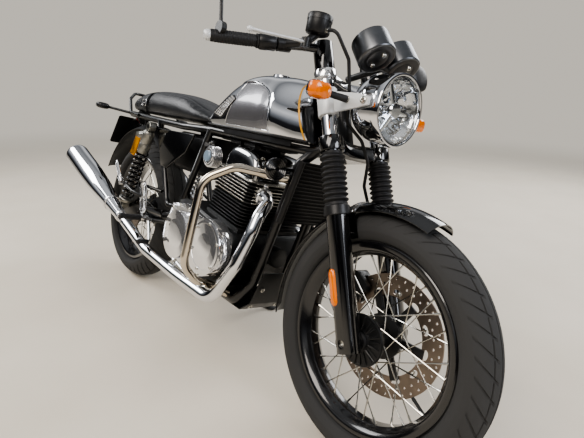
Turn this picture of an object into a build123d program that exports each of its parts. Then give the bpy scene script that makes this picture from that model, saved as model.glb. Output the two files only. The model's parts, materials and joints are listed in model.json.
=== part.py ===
from build123d import *
import os
from collections import namedtuple
from math import atan2, cos, degrees, pi, radians, sin, sqrt, tan

# A twin-cylinder cafe racer motorcycle, parked on its side stand.
# It is modelled upright, in millimetres: X forward from the rear axle, Y to the
# rider's left, Z up from the floor. At the end everything is leaned to the left
# onto the stand and moved so that the origin is under the middle of its box.

# Driving dimensions: stance and steering
WHEELBASE = 1398.0
LEAN = 14.5
RAKE = 24.0
FORK_OFFSET = 39.2
FORK_HALF = 98.0
RUNNING_GAP = 0.1
SEAT_GAP = 0.3

# Driving dimensions: wheels. One row each: outer radius, crown radius, half width of the
# tyre, half width of the rim, half width of the bead
Wheel = namedtuple("Wheel", "radius crown half rim_half bead_half")
FRONT = Wheel(318.0, 52.0, 50.0, 38.0, 31.0)
REAR = Wheel(319.5, 68.0, 65.0, 50.0, 43.0)
BEAD_RADIUS = 228.6
RIM_LIP_RADIUS = 241.0
SPOKE_BED_RADIUS = 207.0
SPOKES_A_SIDE = 18
SPOKE_RADIUS = 1.6
LACING_ANGLE = 50.0

# Driving dimensions: fork, heights along the leg measured from the axle
FORK_TUBE_RADIUS = 20.5
SLIDER_RADIUS = 29.0
SLIDER_TOP = 325.0
GAITER_LOW = 331.0
GAITER_HIGH = 467.0
GAITER_PLEATS = 9
LOWER_CLAMP = (470.0, 508.0)
HEADLIGHT_SLEEVE = (565.0, 636.0)
TOP_CLAMP = (664.0, 688.0)
FORK_TUBE_TOP = 700.0

# Driving dimensions: axles
FRONT_AXLE_RADIUS = 9.0
REAR_AXLE_RADIUS = 10.0

lean = radians(LEAN)
rake = radians(RAKE)


def leaned_depth(wheel):
    """How far the leaned tyre reaches below its axle, measured upright."""
    return (wheel.radius - wheel.crown) + wheel.crown / cos(lean)


# The rear axle stands at its tyre's radius; the front axle is set so that both
# tyres still touch one floor when the machine leans.
REAR_AXLE = Vector(0, 0, REAR.radius)
FRONT_AXLE = Vector(WHEELBASE, 0, REAR.radius - leaned_depth(REAR) + leaned_depth(FRONT))

fork_up = Vector(-sin(rake), 0, cos(rake))
fork_out = Vector(cos(rake), 0, sin(rake))
# Steering frame: x ahead of the steering axis, y left, z up along the axis from the
# height of the front axle
STEER = Plane(origin=FRONT_AXLE - fork_out * FORK_OFFSET, x_dir=fork_out, z_dir=fork_up)
# Where the front axle stands in the drawing that the front end's places are read from
DRAWN_AXLE = Vector(1398.0, 0, 317.473595004837)

pieces = {}


def finish(builder, name):
    """Label a finished piece and keep it for export."""
    builder.part.label = name
    pieces[name] = builder.part


def tube(points, radius, bend=0.0):
    """A round bar along straight runs joined by bends."""
    with BuildLine(mode=Mode.PRIVATE) as run:
        if len(points) > 2:
            FilletPolyline(*points, radius=bend)
        else:
            Line(*points)
    with BuildSketch(Plane(origin=run.line @ 0, z_dir=run.line % 0)) as section:
        Circle(radius)
    sweep(section.sketch, path=run.line)


def bar_between(start, end, radius):
    """A straight round bar between two points."""
    start, end = Vector(*start), Vector(*end)
    with BuildSketch(Plane(origin=start, z_dir=end - start)) as section:
        Circle(radius)
    extrude(section.sketch, amount=(end - start).length)


def steer_point(ahead, left, up):
    """A point of the steering frame in the machine's frame."""
    return STEER.from_local_coords(Vector(ahead, left, up))


def fore_point(x, y, z):
    """A place read from the drawing, carried along by the front axle."""
    return Vector(x, y, z) + (FRONT_AXLE - DRAWN_AXLE)


def wheel_profile(axle):
    """The half plane through an axle in which a wheel's section is drawn: across, out."""
    return Plane(origin=axle, x_dir=(0, 1, 0), z_dir=(1, 0, 0))


# Tyres
def make_tyre(wheel, axle, name):
    shoulder = wheel.radius - wheel.crown + sqrt(wheel.crown ** 2 - wheel.half ** 2)
    bead_out = wheel.bead_half + 9.5
    with BuildPart() as tyre:
        with BuildSketch(wheel_profile(axle)):
            with BuildLine():
                ThreePointArc((-wheel.half, shoulder), (0, wheel.radius), (wheel.half, shoulder))
                ThreePointArc((wheel.half, shoulder), (wheel.half + 0.5, shoulder - 15), (bead_out, 246))
                Polyline((bead_out, 246), (wheel.bead_half, 243), (wheel.bead_half, BEAD_RADIUS + SEAT_GAP),
                         (-wheel.bead_half, BEAD_RADIUS + SEAT_GAP), (-wheel.bead_half, 243), (-bead_out, 246))
                ThreePointArc((-bead_out, 246), (-wheel.half - 0.5, shoulder - 15), (-wheel.half, shoulder))
            make_face()
        revolve(axis=Axis(axle, (0, 1, 0)))
    finish(tyre, name)


make_tyre(FRONT, FRONT_AXLE, "front_tyre")
make_tyre(REAR, REAR_AXLE, "rear_tyre")


# Rims: flanged aluminium hoops with a dropped centre
def make_rim(wheel, axle, name):
    lip = wheel.rim_half
    seat = wheel.bead_half + SEAT_GAP
    with BuildPart() as rim:
        with BuildSketch(wheel_profile(axle)):
            with BuildLine():
                Polyline((lip, RIM_LIP_RADIUS), (lip, 224), (0.6 * lip, 213), (12, SPOKE_BED_RADIUS),
                         (-12, SPOKE_BED_RADIUS), (-0.6 * lip, 213), (-lip, 224), (-lip, RIM_LIP_RADIUS),
                         (-seat, RIM_LIP_RADIUS), (-seat, BEAD_RADIUS), (-20, BEAD_RADIUS), (-13, 217),
                         (13, 217), (20, BEAD_RADIUS), (seat, BEAD_RADIUS), (seat, RIM_LIP_RADIUS), close=True)
            make_face()
        revolve(axis=Axis(axle, (0, 1, 0)))
    finish(rim, name)


make_rim(FRONT, FRONT_AXLE, "front_rim")
make_rim(REAR, REAR_AXLE, "rear_rim")

# Spokes: leading and trailing spokes leave the flange on its two faces, so that
# they pass clear of each other where they cross
FRONT_FLANGE_RADIUS = 58.0
REAR_FLANGE_RADIUS = 70.0
FLANGE_HALF = 36.0
FLANGE_THICK = 7.0


def make_spokes(axle, flange_radius, name):
    start_radius = flange_radius + 0.6 + SPOKE_RADIUS
    end_radius = SPOKE_BED_RADIUS - 0.6
    # side of the wheel, lean of the spoke, distance of its ends from the wheel's middle
    rows = [(side, turn, FLANGE_HALF + 3.5 * turn, 8.0 + 1.6 * turn) for side in (-1, 1) for turn in (-1, 1)]
    pitch = 360.0 / (SPOKES_A_SIDE / 2)
    with BuildPart() as spokes:
        for row, (side, turn, at_hub, at_rim) in enumerate(rows):
            for step in range(SPOKES_A_SIDE // 2):
                rim_angle = radians(pitch * (step + row / 4.0))
                hub_angle = rim_angle - turn * radians(LACING_ANGLE)
                start = (axle.X + start_radius * sin(hub_angle), side * at_hub,
                         axle.Z + start_radius * cos(hub_angle))
                end = (axle.X + end_radius * sin(rim_angle), side * at_rim,
                       axle.Z + end_radius * cos(rim_angle))
                bar_between(start, end, SPOKE_RADIUS)
    finish(spokes, name)


make_spokes(FRONT_AXLE, FRONT_FLANGE_RADIUS, "front_spokes")
make_spokes(REAR_AXLE, REAR_FLANGE_RADIUS, "rear_spokes")

# Hubs and brake discs
FRONT_DISC = (56.0, 61.0)
FRONT_DISC_RADIUS = 160.0
FRONT_BAND_INNER = 104.0
REAR_DISC = (-79.0, -74.0)
REAR_DISC_RADIUS = 120.0
REAR_BAND_INNER = 72.0
CHAIN_LINE = 81.0
SPROCKET_RADIUS = 92.0


def hub_ring(axle, inner, outer, low, high, mode=Mode.ADD):
    """A turned ring on a wheel's axle between two distances across the wheel."""
    with BuildSketch(wheel_profile(axle)) as section:
        with Locations(((low + high) / 2, (inner + outer) / 2)):
            Rectangle(high - low, outer - inner)
    revolve(section.sketch, axis=Axis(axle, (0, 1, 0)), mode=mode)


def disc_arms(axle, inner, outer, low, high, count, width):
    """Flat arms that reach out from the hub: a disc carrier's arms or a cover's ribs."""
    plane = Plane(origin=axle + Vector(0, low, 0), x_dir=(1, 0, 0), z_dir=(0, 1, 0))
    with BuildSketch(plane) as arms:
        with PolarLocations((inner + outer) / 2, count):
            Rectangle(outer - inner, width)
    extrude(arms.sketch, amount=high - low)


with BuildPart() as front_hub:
    bore = FRONT_AXLE_RADIUS + RUNNING_GAP
    hub_ring(FRONT_AXLE, bore, 30, -FLANGE_HALF, FLANGE_HALF)
    for side in (-1, 1):
        hub_ring(FRONT_AXLE, bore, FRONT_FLANGE_RADIUS, side * FLANGE_HALF - FLANGE_THICK / 2,
                 side * FLANGE_HALF + FLANGE_THICK / 2)
    hub_ring(FRONT_AXLE, bore, 62, -54, -44)
    hub_ring(FRONT_AXLE, bore, 40, -44, -FLANGE_HALF)
    hub_ring(FRONT_AXLE, bore, 28, -60, -54)
    disc_arms(FRONT_AXLE, 27, 59, -57, -54, 20, 4)
    hub_ring(FRONT_AXLE, bore, 55, FLANGE_HALF, FRONT_DISC[0])
    disc_arms(FRONT_AXLE, 50, FRONT_BAND_INNER + 9, FRONT_DISC[0] - 6, FRONT_DISC[0], 6, 22)
finish(front_hub, "front_hub")

with BuildPart() as rear_hub:
    bore = REAR_AXLE_RADIUS + RUNNING_GAP
    hub_ring(REAR_AXLE, bore, 46, -FLANGE_HALF, FLANGE_HALF)
    for side in (-1, 1):
        hub_ring(REAR_AXLE, bore, REAR_FLANGE_RADIUS, side * FLANGE_HALF - FLANGE_THICK / 2,
                 side * FLANGE_HALF + FLANGE_THICK / 2)
    hub_ring(REAR_AXLE, bore, 60, FLANGE_HALF, CHAIN_LINE - 3)
    hub_ring(REAR_AXLE, bore, SPROCKET_RADIUS, CHAIN_LINE - 3, CHAIN_LINE + 3)
    hub_ring(REAR_AXLE, bore, 45, REAR_DISC[1], -FLANGE_HALF)
    disc_arms(REAR_AXLE, 40, REAR_BAND_INNER + 9, REAR_DISC[1], REAR_DISC[1] + 6, 6, 20)
finish(rear_hub, "rear_hub")


# A disc has a ring of ovals by its inner edge and two rings of small holes in the band
OVAL = (20.0, 9.0)
HOLE_RADIUS = 4.0
Disc = namedtuple("Disc", "name axle inner outer span ovals holes")
DISCS = [
    Disc("front_disc", FRONT_AXLE, FRONT_BAND_INNER, FRONT_DISC_RADIUS, FRONT_DISC, 18, 27),
    Disc("rear_disc", REAR_AXLE, REAR_BAND_INNER, REAR_DISC_RADIUS, REAR_DISC, 12, 20),
]
for row in DISCS:
    plane = Plane(origin=row.axle + Vector(0, row.span[0], 0), x_dir=(1, 0, 0), z_dir=(0, 1, 0))
    band = row.outer - row.inner
    with BuildPart() as disc:
        with BuildSketch(plane):
            Circle(row.outer)
            Circle(row.inner, mode=Mode.SUBTRACT)
            with PolarLocations(row.inner + 0.2 * band, row.ovals):
                SlotOverall(*OVAL, rotation=90, mode=Mode.SUBTRACT)
            for ring, share in enumerate((0.5, 0.8)):
                with PolarLocations(row.inner + share * band, row.holes, start_angle=180 / row.holes * ring):
                    Circle(HOLE_RADIUS, mode=Mode.SUBTRACT)
        extrude(amount=row.span[1] - row.span[0])
    finish(disc, row.name)

# Axles: hollow spindles carried by the fork sliders and the swingarm
FRONT_AXLE_BORE = 5.5
AXLE_NUT = (FORK_HALF + SLIDER_RADIUS + SEAT_GAP, FORK_HALF + SLIDER_RADIUS + 8)
with BuildPart() as front_axle:
    hub_ring(FRONT_AXLE, FRONT_AXLE_BORE, FRONT_AXLE_RADIUS, -FORK_HALF - 22, AXLE_NUT[0])
    hub_ring(FRONT_AXLE, FRONT_AXLE_BORE, 15, *AXLE_NUT)
finish(front_axle, "front_axle")

ARM_HALF = 106.0
ARM_THICK = 26.0
REAR_AXLE_BORE = 6.0
REAR_AXLE_END = ARM_HALF + ARM_THICK / 2 + 10
with BuildPart() as rear_axle:
    axle_end = ARM_HALF + ARM_THICK / 2
    hub_ring(REAR_AXLE, REAR_AXLE_BORE, REAR_AXLE_RADIUS, -REAR_AXLE_END, REAR_AXLE_END)
    for low in (axle_end, -axle_end - 10):
        hub_ring(REAR_AXLE, REAR_AXLE_BORE, 17, low, low + 10)
finish(rear_axle, "rear_axle")

# Fork: chrome tubes, gaiters and sliders
with BuildPart() as fork_tubes:
    with BuildSketch(STEER.offset(SLIDER_TOP)):
        with Locations((FORK_OFFSET, FORK_HALF), (FORK_OFFSET, -FORK_HALF)):
            Circle(FORK_TUBE_RADIUS)
    extrude(amount=FORK_TUBE_TOP - SLIDER_TOP)
finish(fork_tubes, "fork_tubes")

leg_sides = (1, -1)
with BuildPart() as fork_sliders:
    for side in leg_sides:
        with BuildSketch(STEER.offset(-24)):
            with Locations((FORK_OFFSET, side * FORK_HALF)):
                Circle(SLIDER_RADIUS)
        extrude(amount=SLIDER_TOP + 24)
        with BuildSketch(STEER.offset(SLIDER_TOP - 12)):
            with Locations((FORK_OFFSET, side * FORK_HALF)):
                Circle(SLIDER_RADIUS + 3)
        extrude(amount=12)
    for side in leg_sides:
        near, far = sorted((side * (FORK_HALF - 26), side * (FORK_HALF + 18)))
        hub_ring(FRONT_AXLE, 0.5, 25, near, far)
    hub_ring(FRONT_AXLE, 0, FRONT_AXLE_RADIUS + RUNNING_GAP, -FORK_HALF - 40, FORK_HALF + 40, Mode.SUBTRACT)
finish(fork_sliders, "fork_sliders")

# Gaiters: pleated rubber sleeves between the sliders and the lower clamp
with BuildPart() as fork_gaiters:
    pleat = (GAITER_HIGH - GAITER_LOW) / GAITER_PLEATS
    inner = FORK_TUBE_RADIUS + SEAT_GAP
    outline = [(inner, GAITER_LOW), (inner, GAITER_HIGH)]
    for fold in range(GAITER_PLEATS, 0, -1):
        top = GAITER_LOW + pleat * fold
        outline += [(26, top), (32.5, top - pleat / 2)]
    outline += [(26, GAITER_LOW)]
    for side in leg_sides:
        leg = steer_point(FORK_OFFSET, side * FORK_HALF, 0)
        with BuildSketch(Plane(origin=leg, x_dir=fork_out, z_dir=(0, -1, 0))):
            with BuildLine():
                Polyline(*outline, close=True)
            make_face()
        revolve(axis=Axis(leg, fork_up))
finish(fork_gaiters, "fork_gaiters")

# Fork clamps: the lower one carries the steering stem
STEM_RADIUS = 13.0
HEAD_RADIUS = 27.0
CLAMP_BOSS_RADIUS = 32.0


def clamp_plate(low, high, boss, waist):
    """A fork clamp: a boss round each leg, one round the stem, and the web between."""
    with BuildSketch(STEER.offset(low)) as plate:
        with Locations((FORK_OFFSET, FORK_HALF), (FORK_OFFSET, -FORK_HALF)):
            Circle(boss)
        Circle(boss)
        with BuildLine():
            Polyline((-waist, 20), (-waist, -20), (FORK_OFFSET - 12, -FORK_HALF), (FORK_OFFSET + 16, -FORK_HALF),
                     (waist + 14, -20), (waist + 14, 20), (FORK_OFFSET + 16, FORK_HALF),
                     (FORK_OFFSET - 12, FORK_HALF), close=True)
        make_face()
        with Locations((FORK_OFFSET, FORK_HALF), (FORK_OFFSET, -FORK_HALF)):
            Circle(FORK_TUBE_RADIUS + SEAT_GAP, mode=Mode.SUBTRACT)
    extrude(plate.sketch, amount=high - low)


with BuildPart() as lower_clamp:
    clamp_plate(*LOWER_CLAMP, CLAMP_BOSS_RADIUS, 24)
    with BuildSketch(STEER.offset(LOWER_CLAMP[1])):
        Circle(STEM_RADIUS)
    extrude(amount=TOP_CLAMP[0] - LOWER_CLAMP[1])
finish(lower_clamp, "lower_clamp")

with BuildPart() as top_clamp:
    clamp_plate(*TOP_CLAMP, 29, 20)
    with BuildSketch(STEER.offset(TOP_CLAMP[1])):
        RegularPolygon(15, 6)
    extrude(amount=12)
finish(top_clamp, "top_clamp")

# Headlight: two ears on the fork tubes carry a chrome bowl and its lens
HEADLIGHT_CENTRE = fore_point(1290, 0, 880)
HEADLIGHT_RADIUS = 92.0
BOWL_RADIUS = 88.0
BOWL_WALL = 4.0
BOWL_MIDDLE = -26.0
LENS_RADIUS = 82.0
LENS_BULGE = 9.0


headlight_side = Plane(origin=HEADLIGHT_CENTRE, x_dir=(1, 0, 0), z_dir=(0, -1, 0))
with BuildPart() as headlight_shell:
    with BuildSketch(headlight_side):
        with BuildLine():
            inner = BOWL_RADIUS - BOWL_WALL
            back = CenterArc((BOWL_MIDDLE, 0), BOWL_RADIUS, 90, 88)
            Polyline((BOWL_MIDDLE, BOWL_RADIUS), (0, BOWL_RADIUS), (0, HEADLIGHT_RADIUS), (22, HEADLIGHT_RADIUS),
                     (22, LENS_RADIUS + SEAT_GAP), (0, LENS_RADIUS + SEAT_GAP), (0, inner - 4),
                     (BOWL_MIDDLE, inner - 4), (BOWL_MIDDLE, inner))
            front = CenterArc((BOWL_MIDDLE, 0), inner, 90, 88)
            Polyline(front @ 1, ((front @ 1).X, 0), ((back @ 1).X, 0), back @ 1)
        make_face()
    revolve(axis=Axis(HEADLIGHT_CENTRE, (1, 0, 0)))
finish(headlight_shell, "headlight_shell")

lens_sphere = (LENS_RADIUS ** 2 + LENS_BULGE ** 2) / (2 * LENS_BULGE)
lens_angle = degrees(atan2(LENS_RADIUS, lens_sphere - LENS_BULGE))
with BuildPart() as headlight_lens:
    with BuildSketch(headlight_side):
        with BuildLine():
            face = CenterArc((19 + LENS_BULGE - lens_sphere, 0), lens_sphere, 0.5, lens_angle - 0.5)
            Polyline(face @ 1, (SEAT_GAP, LENS_RADIUS), (SEAT_GAP, 0), ((face @ 0).X, 0), face @ 0)
        make_face()
    revolve(axis=Axis(HEADLIGHT_CENTRE, (1, 0, 0)))
finish(headlight_lens, "headlight_lens")

EAR_HALF = FORK_HALF + 2.0
EAR_OUTLINE = [(1189, 846), (1166, 898), (1262, 896), (1290, 890), (1290, 872), (1255, 862)]
with BuildPart() as headlight_brackets:
    for side in leg_sides:
        with BuildSketch(STEER.offset(HEADLIGHT_SLEEVE[0])):
            with Locations((FORK_OFFSET, side * FORK_HALF)):
                Circle(27)
                Circle(FORK_TUBE_RADIUS + SEAT_GAP, mode=Mode.SUBTRACT)
        extrude(amount=HEADLIGHT_SLEEVE[1] - HEADLIGHT_SLEEVE[0])
        with BuildSketch(Plane(origin=fore_point(0, side * EAR_HALF + 4, 0), x_dir=(1, 0, 0), z_dir=(0, -1, 0))):
            with BuildLine():
                Polyline(*EAR_OUTLINE, close=True)
            make_face()
        extrude(amount=8)
        bar_between(fore_point(1276, side * (EAR_HALF + 4), 881),
                    fore_point(1276, side * (BOWL_RADIUS + SEAT_GAP), 881), 8)
    with BuildSketch(STEER.offset(HEADLIGHT_SLEEVE[0])):
        with Locations((FORK_OFFSET, FORK_HALF), (FORK_OFFSET, -FORK_HALF)):
            Circle(FORK_TUBE_RADIUS + SEAT_GAP)
    extrude(amount=HEADLIGHT_SLEEVE[1] - HEADLIGHT_SLEEVE[0], mode=Mode.SUBTRACT)
finish(headlight_brackets, "headlight_brackets")

# Instruments: two round cups on a bracket above the headlight
CUP_HALF = 54.0
CUP_RADIUS = 49.0
CUP_DEPTH = 62.0
CUP_CENTRE = (1227.0, 1014.0)
CUP_TILT = 50.0
with BuildPart() as instruments:
    for side in leg_sides:
        face_way = (-cos(radians(CUP_TILT)), 0, sin(radians(CUP_TILT)))
        centre = fore_point(CUP_CENTRE[0], side * CUP_HALF, CUP_CENTRE[1])
        back = centre - Vector(*face_way) * (CUP_DEPTH / 2)
        with BuildSketch(Plane(origin=back, z_dir=face_way)):
            Circle(CUP_RADIUS)
        extrude(amount=CUP_DEPTH)
    bar_between(fore_point(1227, -CUP_HALF, 985), fore_point(1227, CUP_HALF, 985), 9)
    bar_between(fore_point(1227, 0, 985), steer_point(FORK_OFFSET - 6, 0, TOP_CLAMP[1] + 9.5), 9)
finish(instruments, "instruments")

# Handlebars: a clip-on clamp and a swept bar on each fork tube
BAR_RADIUS = 11.1
BAR_INNER = fore_point(1095, FORK_HALF + 10, 1003)
BAR_OUTER = fore_point(980, FORK_HALF + 270, 958)
BAR_CLAMP_TOP = 766.0
GRIP_LENGTH = 118.0
PERCH = (165.0, 205.0)
LEVER_PIVOT = fore_point(1118, FORK_HALF + 86, 994)
LEVER_TIP = fore_point(1086, FORK_HALF + 232, 980)
RESERVOIR = fore_point(1117, -FORK_HALF - 54, 1022)
bar_way = (BAR_OUTER - BAR_INNER).normalized()


def sided(point, side):
    """A point given for the left, or its mirror image on the right."""
    return Vector(point.X, side * point.Y, point.Z)


with BuildPart() as handlebars:
    for side in leg_sides:
        bar_between(sided(BAR_INNER, side), sided(BAR_OUTER, side), BAR_RADIUS)
        with BuildSketch(STEER.offset(TOP_CLAMP[1] + SEAT_GAP)):
            with Locations((FORK_OFFSET, side * FORK_HALF)):
                Circle(26)
        extrude(amount=BAR_CLAMP_TOP - TOP_CLAMP[1])
        with BuildSketch(STEER.offset(TOP_CLAMP[1])):
            with Locations((FORK_OFFSET, side * FORK_HALF)):
                Circle(FORK_TUBE_RADIUS + SEAT_GAP)
        extrude(amount=FORK_TUBE_TOP + SEAT_GAP - TOP_CLAMP[1], mode=Mode.SUBTRACT)
finish(handlebars, "handlebars")

with BuildPart() as bar_grips:
    for side in leg_sides:
        outer = sided(BAR_OUTER, side)
        way = sided(bar_way, side)
        with BuildSketch(Plane(origin=outer - way * GRIP_LENGTH, z_dir=way)):
            Circle(16)
            Circle(BAR_RADIUS + SEAT_GAP, mode=Mode.SUBTRACT)
        extrude(amount=GRIP_LENGTH)
        with BuildSketch(Plane(origin=outer + way * SEAT_GAP, z_dir=way)):
            Circle(13)
        extrude(amount=16)
finish(bar_grips, "bar_grips")

# Hand controls: perches, levers and the front brake's reservoir
with BuildPart() as hand_controls:
    for side in leg_sides:
        outer = sided(BAR_OUTER, side)
        way = sided(bar_way, side)
        with BuildSketch(Plane(origin=outer - way * PERCH[1], z_dir=way)):
            Circle(19)
            Circle(BAR_RADIUS + SEAT_GAP, mode=Mode.SUBTRACT)
        extrude(amount=PERCH[1] - PERCH[0])
        hold = outer - way * (PERCH[0] + PERCH[1]) / 2
        pivot = sided(LEVER_PIVOT, side)
        reach = pivot - hold
        bar_between(hold + reach * (24 / reach.length), pivot, 9)
        bar_between(pivot, sided(LEVER_TIP, side), 6.5)
        with BuildSketch(Plane(origin=pivot - Vector(0, 0, 12), x_dir=(1, 0, 0), z_dir=(0, 0, 1))):
            Circle(12)
        extrude(amount=24)
    bar_between(RESERVOIR, RESERVOIR + Vector(0, 0, 52), 29)
    bar_between(sided(LEVER_PIVOT, -1), RESERVOIR + Vector(0, 0, 4), 10)
finish(hand_controls, "hand_controls")

# Bar-end mirrors. One row each: side, stalk's foot, stalk's head, middle of the glass, all
# three counted outwards from the fork leg
Mirror = namedtuple("Mirror", "side foot head centre")
MIRRORS = [
    Mirror(-1, (995.2, 254, 979.2), (962, 254, 1086), (955, 258, 1117)),
    Mirror(1, (995.2, 255, 977.4), (1060, 296, 1038), (1056, 304, 1060)),
]
with BuildPart() as bar_end_mirrors:
    for mirror in MIRRORS:
        foot, head, centre = (fore_point(x, mirror.side * (FORK_HALF + out), z)
                              for x, out, z in (mirror.foot, mirror.head, mirror.centre))
        bar_between(foot, head, 5)
        with BuildSketch(Plane(origin=centre, z_dir=(1, 0, 0.25))):
            Circle(43)
        extrude(amount=14)
finish(bar_end_mirrors, "bar_end_mirrors")

# Front indicators
INDICATOR_HALF = FORK_HALF + 105.0
with BuildPart() as front_indicators:
    for side in leg_sides:
        bar_between(fore_point(1222, side * (EAR_HALF + 4.3), 880),
                    fore_point(1222, side * (INDICATOR_HALF - 20), 878), 8)
        with BuildSketch(Plane(origin=fore_point(1200, side * INDICATOR_HALF, 878), x_dir=(0, 1, 0), z_dir=(1, 0, 0))):
            Ellipse(30, 22)
        extrude(amount=44)
finish(front_indicators, "front_indicators")

# Front mudguard: a rolled blade round the tyre, with a brace to the sliders
MUDGUARD_RADIUS = FRONT.radius + 25.0
MUDGUARD_HALF = 56.0
MUDGUARD_WALL = 3.0
STAY_SPAN = (248.0, 323.0)


def blade(axle, crown, half, wall, drop, start, sweep_angle):
    """A rolled mudguard blade: an arched section turned about the wheel's axle.
    Angles run from straight up towards the rear."""
    with BuildLine(mode=Mode.PRIVATE) as arch:
        ThreePointArc((-half, crown - drop), (0, crown), (half, crown - drop))
        ThreePointArc((half - wall, crown - drop), (0, crown - wall), (-half + wall, crown - drop))
        Line((half, crown - drop), (half - wall, crown - drop))
        Line((-half + wall, crown - drop), (-half, crown - drop))
    up = Vector(-sin(radians(start)), 0, cos(radians(start)))
    plane = Plane(origin=axle, x_dir=(0, 1, 0), z_dir=Vector(0, 1, 0).cross(up))
    with BuildSketch(plane) as section:
        add(arch.line)
        make_face()
    revolve(section.sketch, axis=Axis(axle, (0, -1, 0)), revolution_arc=sweep_angle)


with BuildPart() as front_mudguard:
    blade(FRONT_AXLE, MUDGUARD_RADIUS, MUDGUARD_HALF, MUDGUARD_WALL, 26, -19, 120)
    for side in leg_sides:
        with BuildSketch(Plane(origin=FRONT_AXLE + Vector(0, side * (MUDGUARD_HALF - 1), 0), x_dir=fork_up,
                               z_dir=(0, side, 0))):
            with Locations(((STAY_SPAN[0] + STAY_SPAN[1]) / 2, 0)):
                Rectangle(STAY_SPAN[1] - STAY_SPAN[0], 44)
        extrude(amount=3)
        bar_between(steer_point(FORK_OFFSET, side * MUDGUARD_HALF, 262),
                    steer_point(FORK_OFFSET, side * (FORK_HALF - SLIDER_RADIUS - SEAT_GAP), 262), 9)
finish(front_mudguard, "front_mudguard")

# Front brake caliper, behind the left leg, straddling the disc
with BuildPart() as front_caliper:
    angle = radians(RAKE + 32)
    middle = FRONT_AXLE + Vector(-sin(angle), 0, cos(angle)) * 150
    caliper_plane = Plane(origin=(middle.X, FRONT_DISC[0] - 22, middle.Z),
                          x_dir=(-sin(angle), 0, cos(angle)), z_dir=(0, 1, 0))
    with BuildSketch(caliper_plane):
        with Locations((2, 0)):
            RectangleRounded(66, 84, 14)
    extrude(amount=44)
    with BuildSketch(Plane(origin=(FRONT_AXLE.X, FRONT_DISC[0] - 5, FRONT_AXLE.Z),
                           x_dir=(1, 0, 0), z_dir=(0, 1, 0))):
        Circle(FRONT_DISC_RADIUS + 5)
    extrude(amount=FRONT_DISC[1] - FRONT_DISC[0] + 10, mode=Mode.SUBTRACT)
    for height in (110, 145):
        bar_between(steer_point(-34, 76, height), steer_point(10.9, FORK_HALF - 8, height), 8)
finish(front_caliper, "front_caliper")

# Front brake hose: from the reservoir, inside the headlight ear and ahead of the lower
# clamp, down behind the left leg to the caliper's outer end
HOSE_RADIUS = 4.5
HOSE_FITTING = 7.0
caliper_out = steer_point(-sin(radians(32)), 0, cos(radians(32))) - steer_point(0, 0, 0)
caliper_end = steer_point(-50.5, 56, 162.4) + caliper_out * 0.1
HOSE_RUN = [RESERVOIR + Vector(29 + SEAT_GAP, 0, 10), RESERVOIR + Vector(66, 0, 10), fore_point(1197, -102, 976),
            fore_point(1199, -78, 908), fore_point(1190, -50, 830), steer_point(62, 0, 510), steer_point(58, 24, 455),
            steer_point(10, 60, 405), steer_point(-6, FORK_HALF - 2, 340), steer_point(-6, FORK_HALF - 2, 240),
            caliper_end + caliper_out * 30, caliper_end]
with BuildPart() as brake_hose:
    tube(HOSE_RUN, HOSE_RADIUS, 22)
    bar_between(caliper_end, caliper_end + caliper_out * 12, HOSE_FITTING)
    bar_between(HOSE_RUN[0], HOSE_RUN[0] + Vector(14, 0, 0), HOSE_FITTING)
finish(brake_hose, "brake_hose")

# Frame: head tube, twin downtubes, cradle rails, top rails, seat rails and braces
FRAME_TUBE = 15.0
RAIL_HALF = 100.0
STRUT_HALF = 101.5
RAIL_RADIUS = 13.0
CASE_FRONT = 934.0
CASE_BOTTOM = 246.0
HEAD_SPAN = (LOWER_CLAMP[1] + 1.0, TOP_CLAMP[0] - 1.0)
PIVOT = Vector(540, 0, 400)
SHOCK_TOP = Vector(222, 140, 703)
SHOCK_LOW = Vector(78, 140, 352)
DOWNTUBE_HALF = 62.0
DOWNTUBE_FOOT = Vector(968, DOWNTUBE_HALF, 305)
DOWNTUBE_HEAD = fore_point(1060, DOWNTUBE_HALF, 700)
STAND_PIVOT = Vector(640, 108, 196)
STAND_FOOT = (676.0, 300.0)
STAND_FOLDED = Vector(-1, 0.1, 0)
STAND_PIN_RADIUS = 6.0
STAND_BOSS = 10.5
STAND_LUG = (-STAND_BOSS - 11.0, -STAND_BOSS - SEAT_GAP)
STAND_PIN_HEAD = (STAND_BOSS + SEAT_GAP, STAND_BOSS + 5.0)
floor_drop = REAR.radius - leaned_depth(REAR)


def floor_at(across):
    """Height of the floor under the leaning machine, in the upright frame."""
    return floor_drop + across * tan(lean)


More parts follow.
